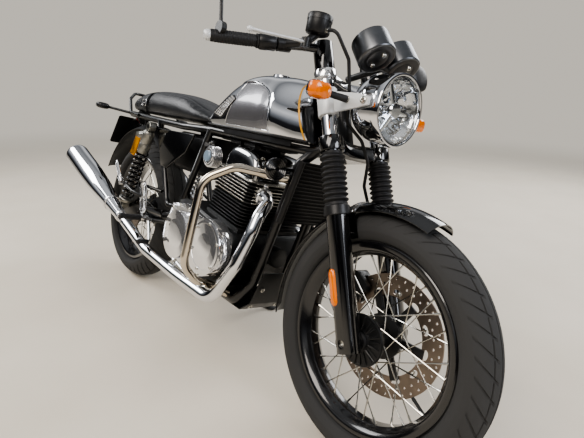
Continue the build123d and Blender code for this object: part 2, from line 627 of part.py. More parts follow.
stand_foot = Vector(*STAND_FOOT, floor_at(STAND_FOOT[1]))
stand_axis = (stand_foot - STAND_PIVOT).cross(STAND_FOLDED).normalized()
with BuildPart() as frame:
    with BuildSketch(STEER.offset(HEAD_SPAN[0])):
        Circle(HEAD_RADIUS)
    extrude(amount=HEAD_SPAN[1] - HEAD_SPAN[0])
    bar_between(steer_point(0, 0, HEAD_SPAN[1] - 26), (620, 0, 752), 19)
    for side in leg_sides:
        tube([steer_point(0, 0, HEAD_SPAN[0] + 40), sided(DOWNTUBE_HEAD, side), sided(DOWNTUBE_FOOT, side),
              (905, side * 70, 222), (650, side * 74, 222), (515, side * 93, 303)], FRAME_TUBE, 40)
        tube([fore_point(1138, side * 12, 800), fore_point(1100, side * 42, 738), (960, side * 70, 738), (600, side * 80, 742),
              (420, side * RAIL_HALF, 733), (-88, side * RAIL_HALF, 740)], RAIL_RADIUS, 60)
        tube([(215, side * STRUT_HALF, 736), (397, side * STRUT_HALF, 420), (486, side * STRUT_HALF, 430)], 12, 40)
        tube([(590, side * 84, 740), (513, side * 97.5, 468)], 13)
        with BuildSketch(Plane(origin=(0, side * 96 + 5, 0), x_dir=(1, 0, 0), z_dir=(0, -1, 0))):
            with BuildLine():
                Polyline((478, 352), (515, 292), (552, 330), (556, 470), (530, 500), (478, 470), close=True)
            make_face()
        extrude(amount=10)
        bar_between((SHOCK_TOP.X, side * (RAIL_HALF - 5), SHOCK_TOP.Z),
                    (SHOCK_TOP.X, side * (SHOCK_TOP.Y + 16), SHOCK_TOP.Z), 9)
        bar_between((SHOCK_TOP.X, side * RAIL_HALF, SHOCK_TOP.Z), (SHOCK_TOP.X, side * RAIL_HALF, 736), 11)
        bar_between((984, side * DOWNTUBE_HALF, 380), (CASE_FRONT + SEAT_GAP, side * DOWNTUBE_HALF, 380), 11)
        bar_between((720, side * 73, 222), (720, side * 73, CASE_BOTTOM - SEAT_GAP), 11)
    bar_between((PIVOT.X, -104, PIVOT.Z), (PIVOT.X, 104, PIVOT.Z), 9)
    bar_between((-60, -RAIL_HALF, 739), (-60, RAIL_HALF, 739), 10)
    bar_between((430, -RAIL_HALF, 733), (430, RAIL_HALF, 733), 10)
    bar_between((640, -74, 222), (640, 74, 222), 10)
    lug_way = Vector(0, DOWNTUBE_HALF + 12, 222) - Vector(0, STAND_PIVOT.Y, STAND_PIVOT.Z)
    lug_way = (lug_way - stand_axis * lug_way.dot(stand_axis)).normalized()
    with BuildSketch(Plane(origin=STAND_PIVOT + stand_axis * STAND_LUG[0], x_dir=lug_way, z_dir=stand_axis)):
        Circle(17)
        Rectangle(48, 34, align=(Align.MIN, Align.CENTER))
    extrude(amount=STAND_LUG[1] - STAND_LUG[0])
    bar_between(STAND_PIVOT + stand_axis * STAND_LUG[0], STAND_PIVOT + stand_axis * STAND_PIN_HEAD[1], STAND_PIN_RADIUS)
    bar_between(STAND_PIVOT + stand_axis * STAND_PIN_HEAD[0], STAND_PIVOT + stand_axis * STAND_PIN_HEAD[1],
                STAND_PIN_RADIUS + 4)
    with BuildSketch(STEER.offset(HEAD_SPAN[0] - 1)):
        Circle(STEM_RADIUS + RUNNING_GAP)
    extrude(amount=HEAD_SPAN[1] - HEAD_SPAN[0] + 2, mode=Mode.SUBTRACT)
finish(frame, "frame")

# Swingarm: arms beside the tyre, drawn in to the pivot ahead of it
ARM_INNER_END = 70.0
with BuildPart() as swingarm:
    with BuildSketch(Plane(origin=(PIVOT.X, 0, PIVOT.Z), x_dir=(1, 0, 0), z_dir=(0, -1, 0))):
        Circle(22)
    extrude(amount=88, both=True)
    for side in leg_sides:
        with BuildSketch(Plane(origin=(0, side * ARM_HALF + ARM_THICK / 2, 0), x_dir=(1, 0, 0),
                               z_dir=(0, -1, 0))):
            with BuildLine():
                Polyline((-38, REAR.radius - 22), (30, REAR.radius - 26), (400, 352), (400, 396),
                         (60, REAR.radius + 30), (-38, REAR.radius + 18), close=True)
            make_face()
        extrude(amount=ARM_THICK)
        tube([(390, side * (ARM_HALF - 3), 374), (465, side * ARM_INNER_END, 389),
              (PIVOT.X, side * ARM_INNER_END, PIVOT.Z)], 18, 30)
        bar_between((SHOCK_LOW.X, side * (ARM_HALF + 8), SHOCK_LOW.Z - 4),
                    (SHOCK_LOW.X, side * (SHOCK_LOW.Y + 16), SHOCK_LOW.Z - 4), 9)
    bar_between((380, -ARM_HALF, 371), (380, ARM_HALF, 371), 15)
    with BuildSketch(Plane(origin=(PIVOT.X, 0, PIVOT.Z), x_dir=(1, 0, 0), z_dir=(0, -1, 0))):
        Circle(9 + SEAT_GAP)
    extrude(amount=130, both=True, mode=Mode.SUBTRACT)
    hub_ring(REAR_AXLE, 0, REAR_AXLE_RADIUS + SEAT_GAP, -150, 150, Mode.SUBTRACT)
finish(swingarm, "swingarm")

# Rear shocks: eyes, damper body, remote reservoir and spring
with BuildPart() as rear_shocks:
    for side in leg_sides:
        top = Vector(SHOCK_TOP.X, side * SHOCK_TOP.Y, SHOCK_TOP.Z)
        low = Vector(SHOCK_LOW.X, side * SHOCK_LOW.Y, SHOCK_LOW.Z - 4)
        way = (top - low).normalized()
        for eye in (top, low):
            with BuildSketch(Plane(origin=eye - Vector(0, 14, 0), x_dir=(1, 0, 0), z_dir=(0, 1, 0))):
                Circle(19)
            extrude(amount=28)
        bar_between(tuple(low + way * 6), tuple(top - way * 6), 9)
        bar_between(tuple(top - way * 16), tuple(top - way * 120), 24)
        bar_between(tuple(low + way * 18), tuple(low + way * 34), 30)
        tank = top - way * 20 + Vector(-64, side * 6, -18)
        bar_between(tuple(tank), tuple(tank - way * 100), 20)
        bar_between(tuple(top - way * 36), tuple(tank - way * 14), 12)
        with BuildSketch(Plane(origin=top - Vector(0, 20, 0), x_dir=(1, 0, 0), z_dir=(0, 1, 0))):
            Circle(9 + SEAT_GAP)
        extrude(amount=40, mode=Mode.SUBTRACT)
        with BuildSketch(Plane(origin=low - Vector(0, 20, 0), x_dir=(1, 0, 0), z_dir=(0, 1, 0))):
            Circle(9 + SEAT_GAP)
        extrude(amount=40, mode=Mode.SUBTRACT)
finish(rear_shocks, "rear_shocks")

SPRING_RADIUS = 28.0
with BuildPart() as shock_springs:
    for side in leg_sides:
        top = Vector(SHOCK_TOP.X, side * SHOCK_TOP.Y, SHOCK_TOP.Z)
        low = Vector(SHOCK_LOW.X, side * SHOCK_LOW.Y, SHOCK_LOW.Z - 4)
        way = (top - low).normalized()
        run = (top - low).length - 120.3 - 34.3
        with BuildSketch(Plane(origin=low + way * 34.3, z_dir=way)):
            Circle(SPRING_RADIUS)
            Circle(9 + SEAT_GAP, mode=Mode.SUBTRACT)
        extrude(amount=run)
finish(shock_springs, "shock_springs")

# Engine: crankcase, covers, finned barrels, finned head and rocker cover
CASE_HALF = 148.0
FRONT_SPROCKET = Vector(598, CHAIN_LINE, 398)
CHAIN_INNER_FRONT = 36.0
SPROCKET_POCKET = 62.0
CYLINDER_TILT = 8.0
CYLINDER_FOOT = Vector(820, 0, 474)
CYLINDERS = Plane(origin=CYLINDER_FOOT, x_dir=(cos(radians(CYLINDER_TILT)), 0, -sin(radians(CYLINDER_TILT))),
                  z_dir=(sin(radians(CYLINDER_TILT)), 0, cos(radians(CYLINDER_TILT))))
BARREL_HEIGHT = 88.0
HEAD_HEIGHT = 66.0
ROCKER_HEIGHT = 74.0
EXHAUST_PORT = CYLINDERS.from_local_coords(Vector(70, 78, BARREL_HEIGHT + 38))
PORT_WAY = Vector(cos(radians(20)), 0, -sin(radians(20)))
INTAKE_PORT = CYLINDERS.from_local_coords(Vector(-70, 62, BARREL_HEIGHT + 36))
INTAKE_WAY = Vector(-cos(radians(11)), 0, sin(radians(11)))
AIRBOX_FRONT = 600.0
with BuildPart() as crankcase:
    with BuildSketch(Plane(origin=(0, -CASE_HALF, 0), x_dir=(1, 0, 0), z_dir=(0, -1, 0))):
        with BuildLine():
            Polyline((578, 478), (566, 340), (640, CASE_BOTTOM), (840, CASE_BOTTOM), (898, 320),
                     (CASE_FRONT, 366), (CASE_FRONT, 430), (924, 448), (740, 474), (700, 488), (620, 490),
                     close=True)
        make_face()
    extrude(amount=-2 * CASE_HALF)
    with BuildSketch(CYLINDERS):
        Rectangle(196, 250)
    extrude(amount=-20)
    with BuildSketch(Plane(origin=(0, SPROCKET_POCKET, 0), x_dir=(1, 0, 0), z_dir=(0, 1, 0))):
        with Locations((FRONT_SPROCKET.X - 40, -FRONT_SPROCKET.Z)):
            Rectangle(200, 124)
    extrude(amount=CASE_HALF, mode=Mode.SUBTRACT)
    bar_between((FRONT_SPROCKET.X, SPROCKET_POCKET - 1, FRONT_SPROCKET.Z),
                (FRONT_SPROCKET.X, CHAIN_LINE + 3, FRONT_SPROCKET.Z), 14)
    bar_between((FRONT_SPROCKET.X, CHAIN_LINE - 3, FRONT_SPROCKET.Z),
                (FRONT_SPROCKET.X, CHAIN_LINE + 3, FRONT_SPROCKET.Z), CHAIN_INNER_FRONT - SEAT_GAP)
finish(crankcase, "crankcase")

with BuildPart() as engine_covers:
    for side, depth in ((-1, 44), (1, 40)):
        way = Vector(0, side, 0)
        face = Plane(origin=(0, side * (CASE_HALF + SEAT_GAP), 0), x_dir=(1, 0, 0), z_dir=way)
        flip = 1 if side < 0 else -1
        with BuildSketch(face):
            with BuildLine():
                Polyline((560, flip * 375), (578, flip * 465), (690, flip * 484), (760, flip * 466),
                         (914, flip * 448), (934, flip * 380), (884, flip * 300), (800, flip * 268),
                         (660, flip * 262), (590, flip * 310), close=True)
            make_face()
        extrude(amount=depth * 0.6)
        with BuildSketch(face):
            with Locations((852, flip * 385)):
                Circle(88)
            with Locations((660, flip * 370)):
                Circle(82)
        extrude(amount=depth)
finish(engine_covers, "engine_covers")


def fin_stack(low, high, count, core, fin, thick):
    """A core with evenly spaced fins round it, in the cylinders' frame."""
    with BuildSketch(CYLINDERS.offset(low)) as body:
        RectangleRounded(*core, 20)
    extrude(body.sketch, amount=high - low)
    pitch = (high - low - thick) / (count - 1)
    for step in range(count):
        with BuildSketch(CYLINDERS.offset(low + pitch * step)) as plate:
            RectangleRounded(*fin, 26)
        extrude(plate.sketch, amount=thick)


with BuildPart() as cylinder_block:
    fin_stack(0, BARREL_HEIGHT, 9, (160, 220), (206, 252), 2.6)
finish(cylinder_block, "cylinder_block")

with BuildPart() as cylinder_head:
    fin_stack(BARREL_HEIGHT, BARREL_HEIGHT + HEAD_HEIGHT, 7, (170, 224), (212, 256), 2.8)
    for side in leg_sides:
        bar_between(sided(EXHAUST_PORT, side), sided(EXHAUST_PORT + PORT_WAY * 48, side), 26)
        bar_between(sided(INTAKE_PORT, side), sided(INTAKE_PORT + INTAKE_WAY * 52, side), 24)
finish(cylinder_head, "cylinder_head")

with BuildPart() as rocker_cover:
    with BuildSketch(CYLINDERS.offset(BARREL_HEIGHT + HEAD_HEIGHT)):
        RectangleRounded(184, 236, 40)
    extrude(amount=ROCKER_HEIGHT)
    fillet(rocker_cover.faces().sort_by(Axis((0, 0, 0), tuple(CYLINDERS.z_dir)))[-1].edges(), 26)
finish(rocker_cover, "rocker_cover")

with BuildPart() as throttle_bodies:
    for side in leg_sides:
        mouth = sided(INTAKE_PORT + INTAKE_WAY * (52 + SEAT_GAP), side)
        bar_between(mouth, mouth + INTAKE_WAY * (mouth.X - AIRBOX_FRONT + 10), 27)
    with BuildSketch(Plane(origin=(330, 0, 0), x_dir=(0, 1, 0), z_dir=(1, 0, 0))):
        with Locations((0, 640)):
            RectangleRounded(130, 150, 20)
    extrude(amount=AIRBOX_FRONT - 330)
finish(throttle_bodies, "throttle_bodies")

# Throttle side covers: finned drums with a round plug, one on the outer side of each body
DRUM_CENTRE = (672.0, 650.0)
DRUM_SPAN = (62 + 27 + SEAT_GAP, 126.0)
with BuildPart() as throttle_covers:
    for side in leg_sides:
        # from, to, radius
        rings = [(*DRUM_SPAN, 27), (DRUM_SPAN[1], DRUM_SPAN[1] + 5, 17)]
        rings += [(low, low + 3, 33) for low in (95, 103, 111, 119)]
        for near, far, radius in rings:
            bar_between((DRUM_CENTRE[0], side * near, DRUM_CENTRE[1]), (DRUM_CENTRE[0], side * far, DRUM_CENTRE[1]),
                        radius)
finish(throttle_covers, "throttle_covers")

# Exhaust
PIPE_RADIUS = 20.0
MUFFLER_RADIUS = 52.5
MUFFLER_START = Vector(215, 203, 322)
MUFFLER_END = Vector(-322, 244, 493)
muffler_way = (MUFFLER_END - MUFFLER_START).normalized()
muffler_length = (MUFFLER_END - MUFFLER_START).length
PIPE_RUN = [EXHAUST_PORT + PORT_WAY * (48 + SEAT_GAP), EXHAUST_PORT + PORT_WAY * 72, Vector(986, 112, 520),
            Vector(989, 125, 474), Vector(968, 145, 362), Vector(904, 165, 229), Vector(700, 180, 238),
            Vector(475, 195, 257), MUFFLER_START - muffler_way * 36, MUFFLER_START]
with BuildPart() as exhaust_pipes:
    for side in leg_sides:
        tube([sided(point, side) for point in PIPE_RUN], PIPE_RADIUS, 36)
finish(exhaust_pipes, "exhaust_pipes")

with BuildPart() as mufflers:
    for side in leg_sides:
        start = sided(MUFFLER_START, side)
        way = sided(muffler_way, side)
        base = Plane(origin=start, x_dir=way, z_dir=way.cross(Vector(0, 0, 1)))
        with BuildSketch(base):
            with BuildLine():
                tail = muffler_length
                Polyline((SEAT_GAP, 0), (SEAT_GAP, 22), (112, 33), (240, 47), (330, 51), (tail - 12, MUFFLER_RADIUS),
                         (tail, MUFFLER_RADIUS - 4), (tail, 28), (tail - 40, 24), (tail - 40, 0), close=True)
            make_face()
        revolve(axis=Axis(start, way))
finish(mufflers, "mufflers")

# Engine guard: one hoop on each side
GUARD_TUBE = 12.5
GUARD_BEND = 40.0
GUARD_RUN = [Vector(1045.2, 80.1, 648), Vector(965, 212, 652), Vector(918, 279, 600), Vector(906, 283, 345),
             Vector(895, 225, 290), Vector(876, 166, 272), Vector(871.5, 82.7, 233.5)]
with BuildPart() as engine_guard:
    for side in leg_sides:
        tube([sided(point, side) for point in GUARD_RUN], GUARD_TUBE, GUARD_BEND)
finish(engine_guard, "engine_guard")

# Oil cooler, horn, filter and bash plate
COOLER_TOP = DOWNTUBE_HEAD + Vector(37, -DOWNTUBE_HALF, 5)
COOLER_LOW = Vector(1055, 0, 522)
COOLER_HALF = 98.0
COOLER_THICK = 22.0
with BuildPart() as oil_cooler:
    way = (COOLER_TOP - COOLER_LOW).normalized()
    with BuildSketch(Plane(origin=COOLER_LOW, x_dir=(0, 1, 0), z_dir=way)):
        Rectangle(2 * COOLER_HALF, COOLER_THICK)
    extrude(amount=(COOLER_TOP - COOLER_LOW).length)
    for side in leg_sides:
        bar_between((1063.6, side * DOWNTUBE_HALF, 640), (1078, side * DOWNTUBE_HALF, 640), 7)
finish(oil_cooler, "oil_cooler")

with BuildPart() as horn:
    bar_between((1046, -145, 668), (1068, -147, 672), 32)
    bar_between((1054, -77.4, 675), (1054, -132, 672), 5)
finish(horn, "horn")

with BuildPart() as oil_filter:
    bar_between((CASE_FRONT + SEAT_GAP, 0, 392), (994, 0, 392), 32)
finish(oil_filter, "oil_filter")

BASH_HALF = 72.0
BASH_TOP = 206.6
with BuildPart() as bash_plate:
    with BuildSketch(Plane(origin=(0, BASH_HALF, 0), x_dir=(1, 0, 0), z_dir=(0, -1, 0))):
        with BuildLine():
            Polyline((1020, 352), (984, 240), (938, BASH_TOP - 3), (700, BASH_TOP - 3), (700, BASH_TOP),
                     (936, BASH_TOP), (981, 242), (1017, 353), close=True)
        make_face()
    extrude(amount=2 * BASH_HALF)
finish(bash_plate, "bash_plate")

# Fuel tank. One row each: distance forward, half width at the bottom, greatest half width,
# its height, half width at the shoulder, height of the shoulder, height of the top
Section = namedtuple("Section", "x foot side side_z shoulder shoulder_z top")
TANK_BOTTOM = 760.0
TANK_SECTIONS = [
    Section(556, 78, 82, 773, 60, 786, 797),
    Section(600, 90, 96, 792, 66, 834, 851),
    Section(660, 98, 106, 808, 72, 886, 906),
    Section(740, 104, 114, 820, 78, 920, 942),
    Section(820, 108, 119, 830, 82, 930, 952),
    Section(880, 112, 124, 830, 84, 926, 950),
    Section(960, 114, 130, 832, 84, 918, 944),
    Section(1040, 96, 104, 830, 72, 900, 926),
    Section(1110, 74, 80, 825, 56, 872, 890),
]
TANK_FRONT_GAP = 60.0
TUNNEL_HALF = 46.0


def half_section(row, bottom):
    """A body's cross section: a flat foot, an arched side each way and an arched top."""
    with BuildSketch(Plane.YZ.offset(row.x)) as outline:
        with BuildLine():
            Line((-row.foot, bottom), (row.foot, bottom))
            ThreePointArc((row.foot, bottom), (row.side, row.side_z), (row.shoulder, row.shoulder_z))
            ThreePointArc((row.shoulder, row.shoulder_z), (0, row.top), (-row.shoulder, row.shoulder_z))
            ThreePointArc((-row.shoulder, row.shoulder_z), (-row.side, row.side_z), (-row.foot, bottom))
        make_face()
    return outline.sketch


with BuildPart() as fuel_tank:
    loft([half_section(row, TANK_BOTTOM) for row in TANK_SECTIONS])
    split(bisect_by=Plane(origin=steer_point(-TANK_FRONT_GAP, 0, 500), z_dir=fork_out), keep=Keep.BOTTOM)
    with BuildSketch(Plane(origin=(0, TUNNEL_HALF, 0), x_dir=(1, 0, 0), z_dir=(0, -1, 0))):
        with BuildLine():
            Polyline((540, 700), (540, 782), (620, 782), (1140, 921), (1140, 700), close=True)
        make_face()
    extrude(amount=2 * TUNNEL_HALF, mode=Mode.SUBTRACT)
    for side in leg_sides:
        bar_between((960, side * 70, 738 + RAIL_RADIUS + SEAT_GAP), (960, side * 70, TANK_BOTTOM + 2), 11)
        bar_between((640, side * 78.9, 741.6 + RAIL_RADIUS + SEAT_GAP), (640, side * 78.9, TANK_BOTTOM + 2), 11)
finish(fuel_tank, "fuel_tank")

CAP_CENTRE = Vector(830, 0, 952.3)
with BuildPart() as fuel_cap:
    bar_between(CAP_CENTRE, CAP_CENTRE + Vector(0, 0, 5), 34)
finish(fuel_cap, "fuel_cap")

# Seat
SEAT_BOTTOM = 760.0
SEAT_SECTIONS = [
    Section(555, 78, 82, 773, 62, 784, 794),
    Section(480, 98, 107, 780, 86, 806, 822),
    Section(387, 108, 118, 788, 96, 832, 851),
    Section(210, 114, 126, 794, 104, 844, 867),
    Section(66, 112, 123, 794, 100, 842, 865),
    Section(-30, 102, 112, 790, 90, 830, 851),
    Section(-120, 84, 92, 784, 72, 804, 820),
    Section(-165, 50, 56, 775, 44, 788, 797),
]
with BuildPart() as seat:
    loft([half_section(row, SEAT_BOTTOM) for row in SEAT_SECTIONS])
    for side in leg_sides:
        bar_between((380, side * (RAIL_HALF - 1), 733.6 + RAIL_RADIUS + SEAT_GAP), (380, side * (RAIL_HALF - 1), SEAT_BOTTOM + 2), 10)
        bar_between((-20, side * (RAIL_HALF - 4), 739.1 + RAIL_RADIUS + SEAT_GAP), (-20, side * (RAIL_HALF - 4), SEAT_BOTTOM + 2), 7)
finish(seat, "seat")

# Side covers
with BuildPart() as side_covers:
    for side in leg_sides:
        with BuildSketch(Plane(origin=(0, side * (STRUT_HALF + 12 + SEAT_GAP), 0), x_dir=(1, 0, 0), z_dir=(0, -1, 0))):
            with BuildLine():
                Polyline((237, 704), (545, 712), (500, 640), (372, 560), (322, 562), close=True)
            make_face()
        extrude(amount=-side * 8)
finish(side_covers, "side_covers")

# Rear mudguard, lights and grab rail
REAR_BLADE_RADIUS = 392.0
with BuildPart() as rear_mudguard:
    blade(REAR_AXLE, REAR_BLADE_RADIUS, 86, 3, 30, -40, 108)
    for side in leg_sides:
        bar_between((-60, side * 40, 700), (-60, side * 40, 739 - 10 - SEAT_GAP), 8)
finish(rear_mudguard, "rear_mudguard")

with BuildPart() as rear_lights:
    bar_between((-186, 0, 738), (-222, 0, 732), 36)
    bar_between((-204, 0, 720), (-178.2, 0, 669.2), 8)
    for side in leg_sides:
        bar_between((-76, side * (RAIL_HALF + 18), 742), (-186, side * 184, 747), 6)
        with BuildSketch(Plane(origin=(-214, side * 205, 748), x_dir=(0, 1, 0), z_dir=(1, 0, 0))):
            Ellipse(28, 14)
        extrude(amount=52)
finish(rear_lights, "rear_lights")

GRAB_HALF = RAIL_HALF + 20.4
with BuildPart() as grab_rail:
    tube([(30, -GRAB_HALF, 739), (-60, -GRAB_HALF, 745), (-122, -108, 806), (-204, -58, 838), (-204, 58, 838),
          (-122, 108, 806), (-60, GRAB_HALF, 745), (30, GRAB_HALF, 739)], 7, 34)
finish(grab_rail, "grab_rail")

# Footrests, heel plates and pedals
PLATE_HALF = 158.0
with BuildPart() as footrest_plates:
    for side in leg_sides:
        with BuildSketch(Plane(origin=(0, side * PLATE_HALF, 0), x_dir=(1, 0, 0), z_dir=(0, -1, 0))):
            with BuildLine():
                Polyline((262, 480), (300, 488), (332, 385), (390, 366), (390, 336), (335, 332), (292, 370),
                         close=True)
            make_face()
        extrude(amount=-side * 6)
        bar_between((371, side * 119.9, 466), (296, side * (PLATE_HALF + 1), 470), 7)
        bar_between((382, side * (PLATE_HALF + 1), 351), (486, side * 109, 368), 8)
        tube([(300, side * (PLATE_HALF + 3), 425), (232, side * 180, 432), (152, side * 186, 449)], 7, 30)
finish(footrest_plates, "footrest_plates")

with BuildPart() as foot_controls:
    for side in leg_sides:
        bar_between((352, side * (PLATE_HALF + 6 + SEAT_GAP), 350), (352, side * 265, 352), 11)
        bar_between((406, side * 162, 352), (406, side * 176, 352), 11)
        tube([(406, side * 170, 352), (444, side * 182, 330), (490, side * 196, 294), (490, side * 212, 292)], 6, 8)
        bar_between((490, side * 200, 292), (490, side * 242, 292), 9)
        bar_between((146, side * 196, 453), (72, side * 200, 528), 11)
        bar_between((152, side * 193.4, 449), (152, side * 206, 449), 9)
finish(foot_controls, "foot_controls")

# Drive chain: one loop round the two sprockets
CHAIN_INNER_REAR = SPROCKET_RADIUS + 2
CHAIN_TALL = 12.0


def belt_outline(extra):
    """The outline of a loop round both sprockets, as a hull of two circles."""
    reach = FRONT_SPROCKET - REAR_AXLE
    length = sqrt(reach.X ** 2 + reach.Z ** 2)
    slope = degrees(atan2(reach.Z, reach.X))
    plane = Plane(origin=(0, CHAIN_LINE - 7, REAR_AXLE.Z), x_dir=(1, 0, 0), z_dir=(0, -1, 0))
    with BuildSketch(plane) as outline:
        with BuildLine():
            big, small = CHAIN_INNER_REAR + extra, CHAIN_INNER_FRONT + extra
            lift = atan2(sqrt(length ** 2 - (big - small) ** 2), big - small)
            turn = radians(slope)
            points = {}
            for name, centre, radius in (("rear", (0, 0), big), ("front", (reach.X, reach.Z), small)):
                for sign in (1, -1):
                    points[name, sign] = (centre[0] + radius * cos(turn + sign * lift),
                                          centre[1] + radius * sin(turn + sign * lift))
            Line(points["rear", 1], points["front", 1])
            ThreePointArc(points["front", 1],
                          (reach.X + small * cos(turn), reach.Z + small * sin(turn)), points["front", -1])
            Line(points["front", -1], points["rear", -1])
            ThreePointArc(points["rear", -1], (-big * cos(turn), -big * sin(turn)), points["rear", 1])
        make_face()
    return outline.sketch


with BuildPart() as drive_chain:
    extrude(belt_outline(CHAIN_TALL), amount=-14)
    extrude(belt_outline(0), amount=-14, mode=Mode.SUBTRACT)
finish(drive_chain, "drive_chain")

# Rear caliper on its carrier, which hangs on the axle inside the right arm
with BuildPart() as rear_caliper:
    middle = REAR_AXLE + Vector(78, 0, 90)
    with BuildSketch(Plane(origin=(middle.X, REAR_DISC[0] - 13.7, middle.Z), x_dir=(1, 0, 1), z_dir=(0, 1, 0))):
        RectangleRounded(56, 70, 12)
    extrude(amount=33.7)
    hub_ring(REAR_AXLE, 0, REAR_DISC_RADIUS + 5, REAR_DISC[0] - 5, REAR_DISC[1] + 5, Mode.SUBTRACT)
    with BuildSketch(Plane(origin=(0, REAR_DISC[0] - 7.7, 0), x_dir=(1, 0, 0), z_dir=(0, -1, 0))):
        with Locations((REAR_AXLE.X, REAR_AXLE.Z)):
            Circle(24)
        with BuildLine():
            Polyline((-20, 330), (20, 306), (96, 390), (70, 420), close=True)
        make_face()
        with Locations((REAR_AXLE.X, REAR_AXLE.Z)):
            Circle(REAR_AXLE_RADIUS + SEAT_GAP, mode=Mode.SUBTRACT)
    extrude(amount=6)
finish(rear_caliper, "rear_caliper")

# Side stand: it swings back and up about its pivot
with BuildPart() as side_stand:
    floor_up = Vector(0, -sin(lean), cos(lean))
    with BuildSketch(Plane(origin=stand_foot, x_dir=(1, 0, 0), z_dir=floor_up)):
        SlotOverall(60, 40)
    extrude(amount=6)
    bar_between(stand_foot + floor_up * 3, STAND_PIVOT, 10)
    with BuildSketch(Plane(origin=STAND_PIVOT, z_dir=stand_axis)):
        Circle(16)
    extrude(amount=STAND_BOSS, both=True)
    with BuildSketch(Plane(origin=STAND_PIVOT, z_dir=stand_axis)):
        Circle(STAND_PIN_RADIUS + RUNNING_GAP)
    extrude(amount=20, both=True, mode=Mode.SUBTRACT)
finish(side_stand, "side_stand")

# Lean everything onto the stand, and put the origin under the middle of its box
lean_turn = Location((0, 0, 0), (-LEAN, 0, 0))
leaned = {name: piece.moved(lean_turn) for name, piece in pieces.items()}
boxes = [piece.bounding_box() for piece in leaned.values()]
low = Vector(*(min(getattr(box.min, axis) for box in boxes) for axis in "XYZ"))
high = Vector(*(max(getattr(box.max, axis) for box in boxes) for axis in "XYZ"))
shift = Vector(-(low.X + high.X) / 2, -(low.Y + high.Y) / 2, -low.Z)
park = Location(shift) * lean_turn

os.makedirs("parts", exist_ok=True)
for name, piece in pieces.items():
    placed = piece.moved(park)
    placed.label = name
    export_step(placed, f"parts/{name}.step")
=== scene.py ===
import json
import logging
import math
from dataclasses import dataclass, field
from enum import Enum
from typing import Any, Dict, List, Optional, Sequence, Tuple

import bmesh
import bpy
import numpy as np
from mathutils import Matrix, Vector


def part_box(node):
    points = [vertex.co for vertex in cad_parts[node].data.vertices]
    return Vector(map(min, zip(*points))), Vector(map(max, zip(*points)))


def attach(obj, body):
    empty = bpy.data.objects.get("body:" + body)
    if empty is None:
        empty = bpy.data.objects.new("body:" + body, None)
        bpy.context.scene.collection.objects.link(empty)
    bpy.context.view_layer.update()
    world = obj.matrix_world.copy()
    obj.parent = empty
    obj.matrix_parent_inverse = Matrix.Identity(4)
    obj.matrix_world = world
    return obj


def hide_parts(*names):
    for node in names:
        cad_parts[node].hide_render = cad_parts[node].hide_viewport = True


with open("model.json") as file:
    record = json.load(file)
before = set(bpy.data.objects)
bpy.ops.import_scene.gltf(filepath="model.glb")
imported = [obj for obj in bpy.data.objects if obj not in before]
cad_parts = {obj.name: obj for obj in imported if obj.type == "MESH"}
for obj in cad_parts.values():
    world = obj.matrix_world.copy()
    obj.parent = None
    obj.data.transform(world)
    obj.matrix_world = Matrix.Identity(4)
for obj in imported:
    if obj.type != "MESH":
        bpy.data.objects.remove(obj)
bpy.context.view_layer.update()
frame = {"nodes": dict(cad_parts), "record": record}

logging.basicConfig(level=logging.INFO, format="%(message)s")
log = logging.getLogger("cafe_racer")

Points = np.ndarray
SIDES = (1, -1)


def point(x: float, y: float, z: float) -> Any:
    """A dataclass field whose default is this point, made anew for each object."""
    return field(default_factory=lambda: np.array([x, y, z]))


class Body(str, Enum):
    """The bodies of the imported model."""

    CHASSIS = "chassis"
    STEERING = "steering"
    FRONT_WHEEL = "front_wheel"
    REAR_WHEEL = "rear_wheel"
    STAND = "side_stand"


class Grain(Enum):
    """How a surface's fine relief is laid out."""

    NONE = 0
    CAST = 1
    PORES = 2
    BRUSHED = 3
    RINGS = 4


# Stance: the machine is worked out upright in millimetres (X forward from the rear
# axle, Y to the rider's left, Z up) and parked by one turn and one move.
LEAN = math.radians(14.5)
RAKE = math.radians(24.0)
AHEAD, LEFT, UP = np.eye(3)
REAR_AXLE = np.array([0.0, 0.0, 319.5])
FRONT_AXLE = np.array([1398.0, 0.0, 317.474])
FORK_UP = np.array([-math.sin(RAKE), 0.0, math.cos(RAKE)])
FORK_OUT = np.array([math.cos(RAKE), 0.0, math.sin(RAKE)])
FORK_OFFSET = 39.2
FORK_HALF = 98.0
TURN = np.array([[1.0, 0.0, 0.0],
                 [0.0, math.cos(LEAN), math.sin(LEAN)],
                 [0.0, -math.sin(LEAN), math.cos(LEAN)]])
_tyre_low, _tyre_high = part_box("rear_tyre")
SHIFT = np.array((_tyre_low + _tyre_high) / 2) - TURN @ REAR_AXLE / 1000.0


def parked(points: Points) -> Points:
    """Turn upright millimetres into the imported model's leaned metres.

    Args:
        points: any array of points, last axis X, Y, Z.
    Returns:
        The same points turned about X by the lean, in metres, and moved.
    """
    return np.asarray(points, float) @ TURN.T / 1000.0 + SHIFT


def steer(ahead: Any, left: Any, up: Any) -> Points:
    """Points of the steering frame: ahead of its axis, left of it, up along it from the front axle."""
    ahead, left, up = np.broadcast_arrays(*(np.asarray(v, float)[..., None] for v in (ahead, left, up)))
    return FRONT_AXLE - FORK_OUT * FORK_OFFSET + ahead * FORK_OUT + left * LEFT + up * FORK_UP


def mirrored(points: Any, side: int) -> Points:
    """Points given for the left, or their mirror image for the right."""
    return np.asarray(points, float) * np.array([1.0, side, 1.0])


def unit(vectors: Any) -> Points:
    """Vectors divided by their own lengths."""
    vectors = np.asarray(vectors, float)
    return vectors / np.linalg.norm(vectors, axis=-1, keepdims=True)


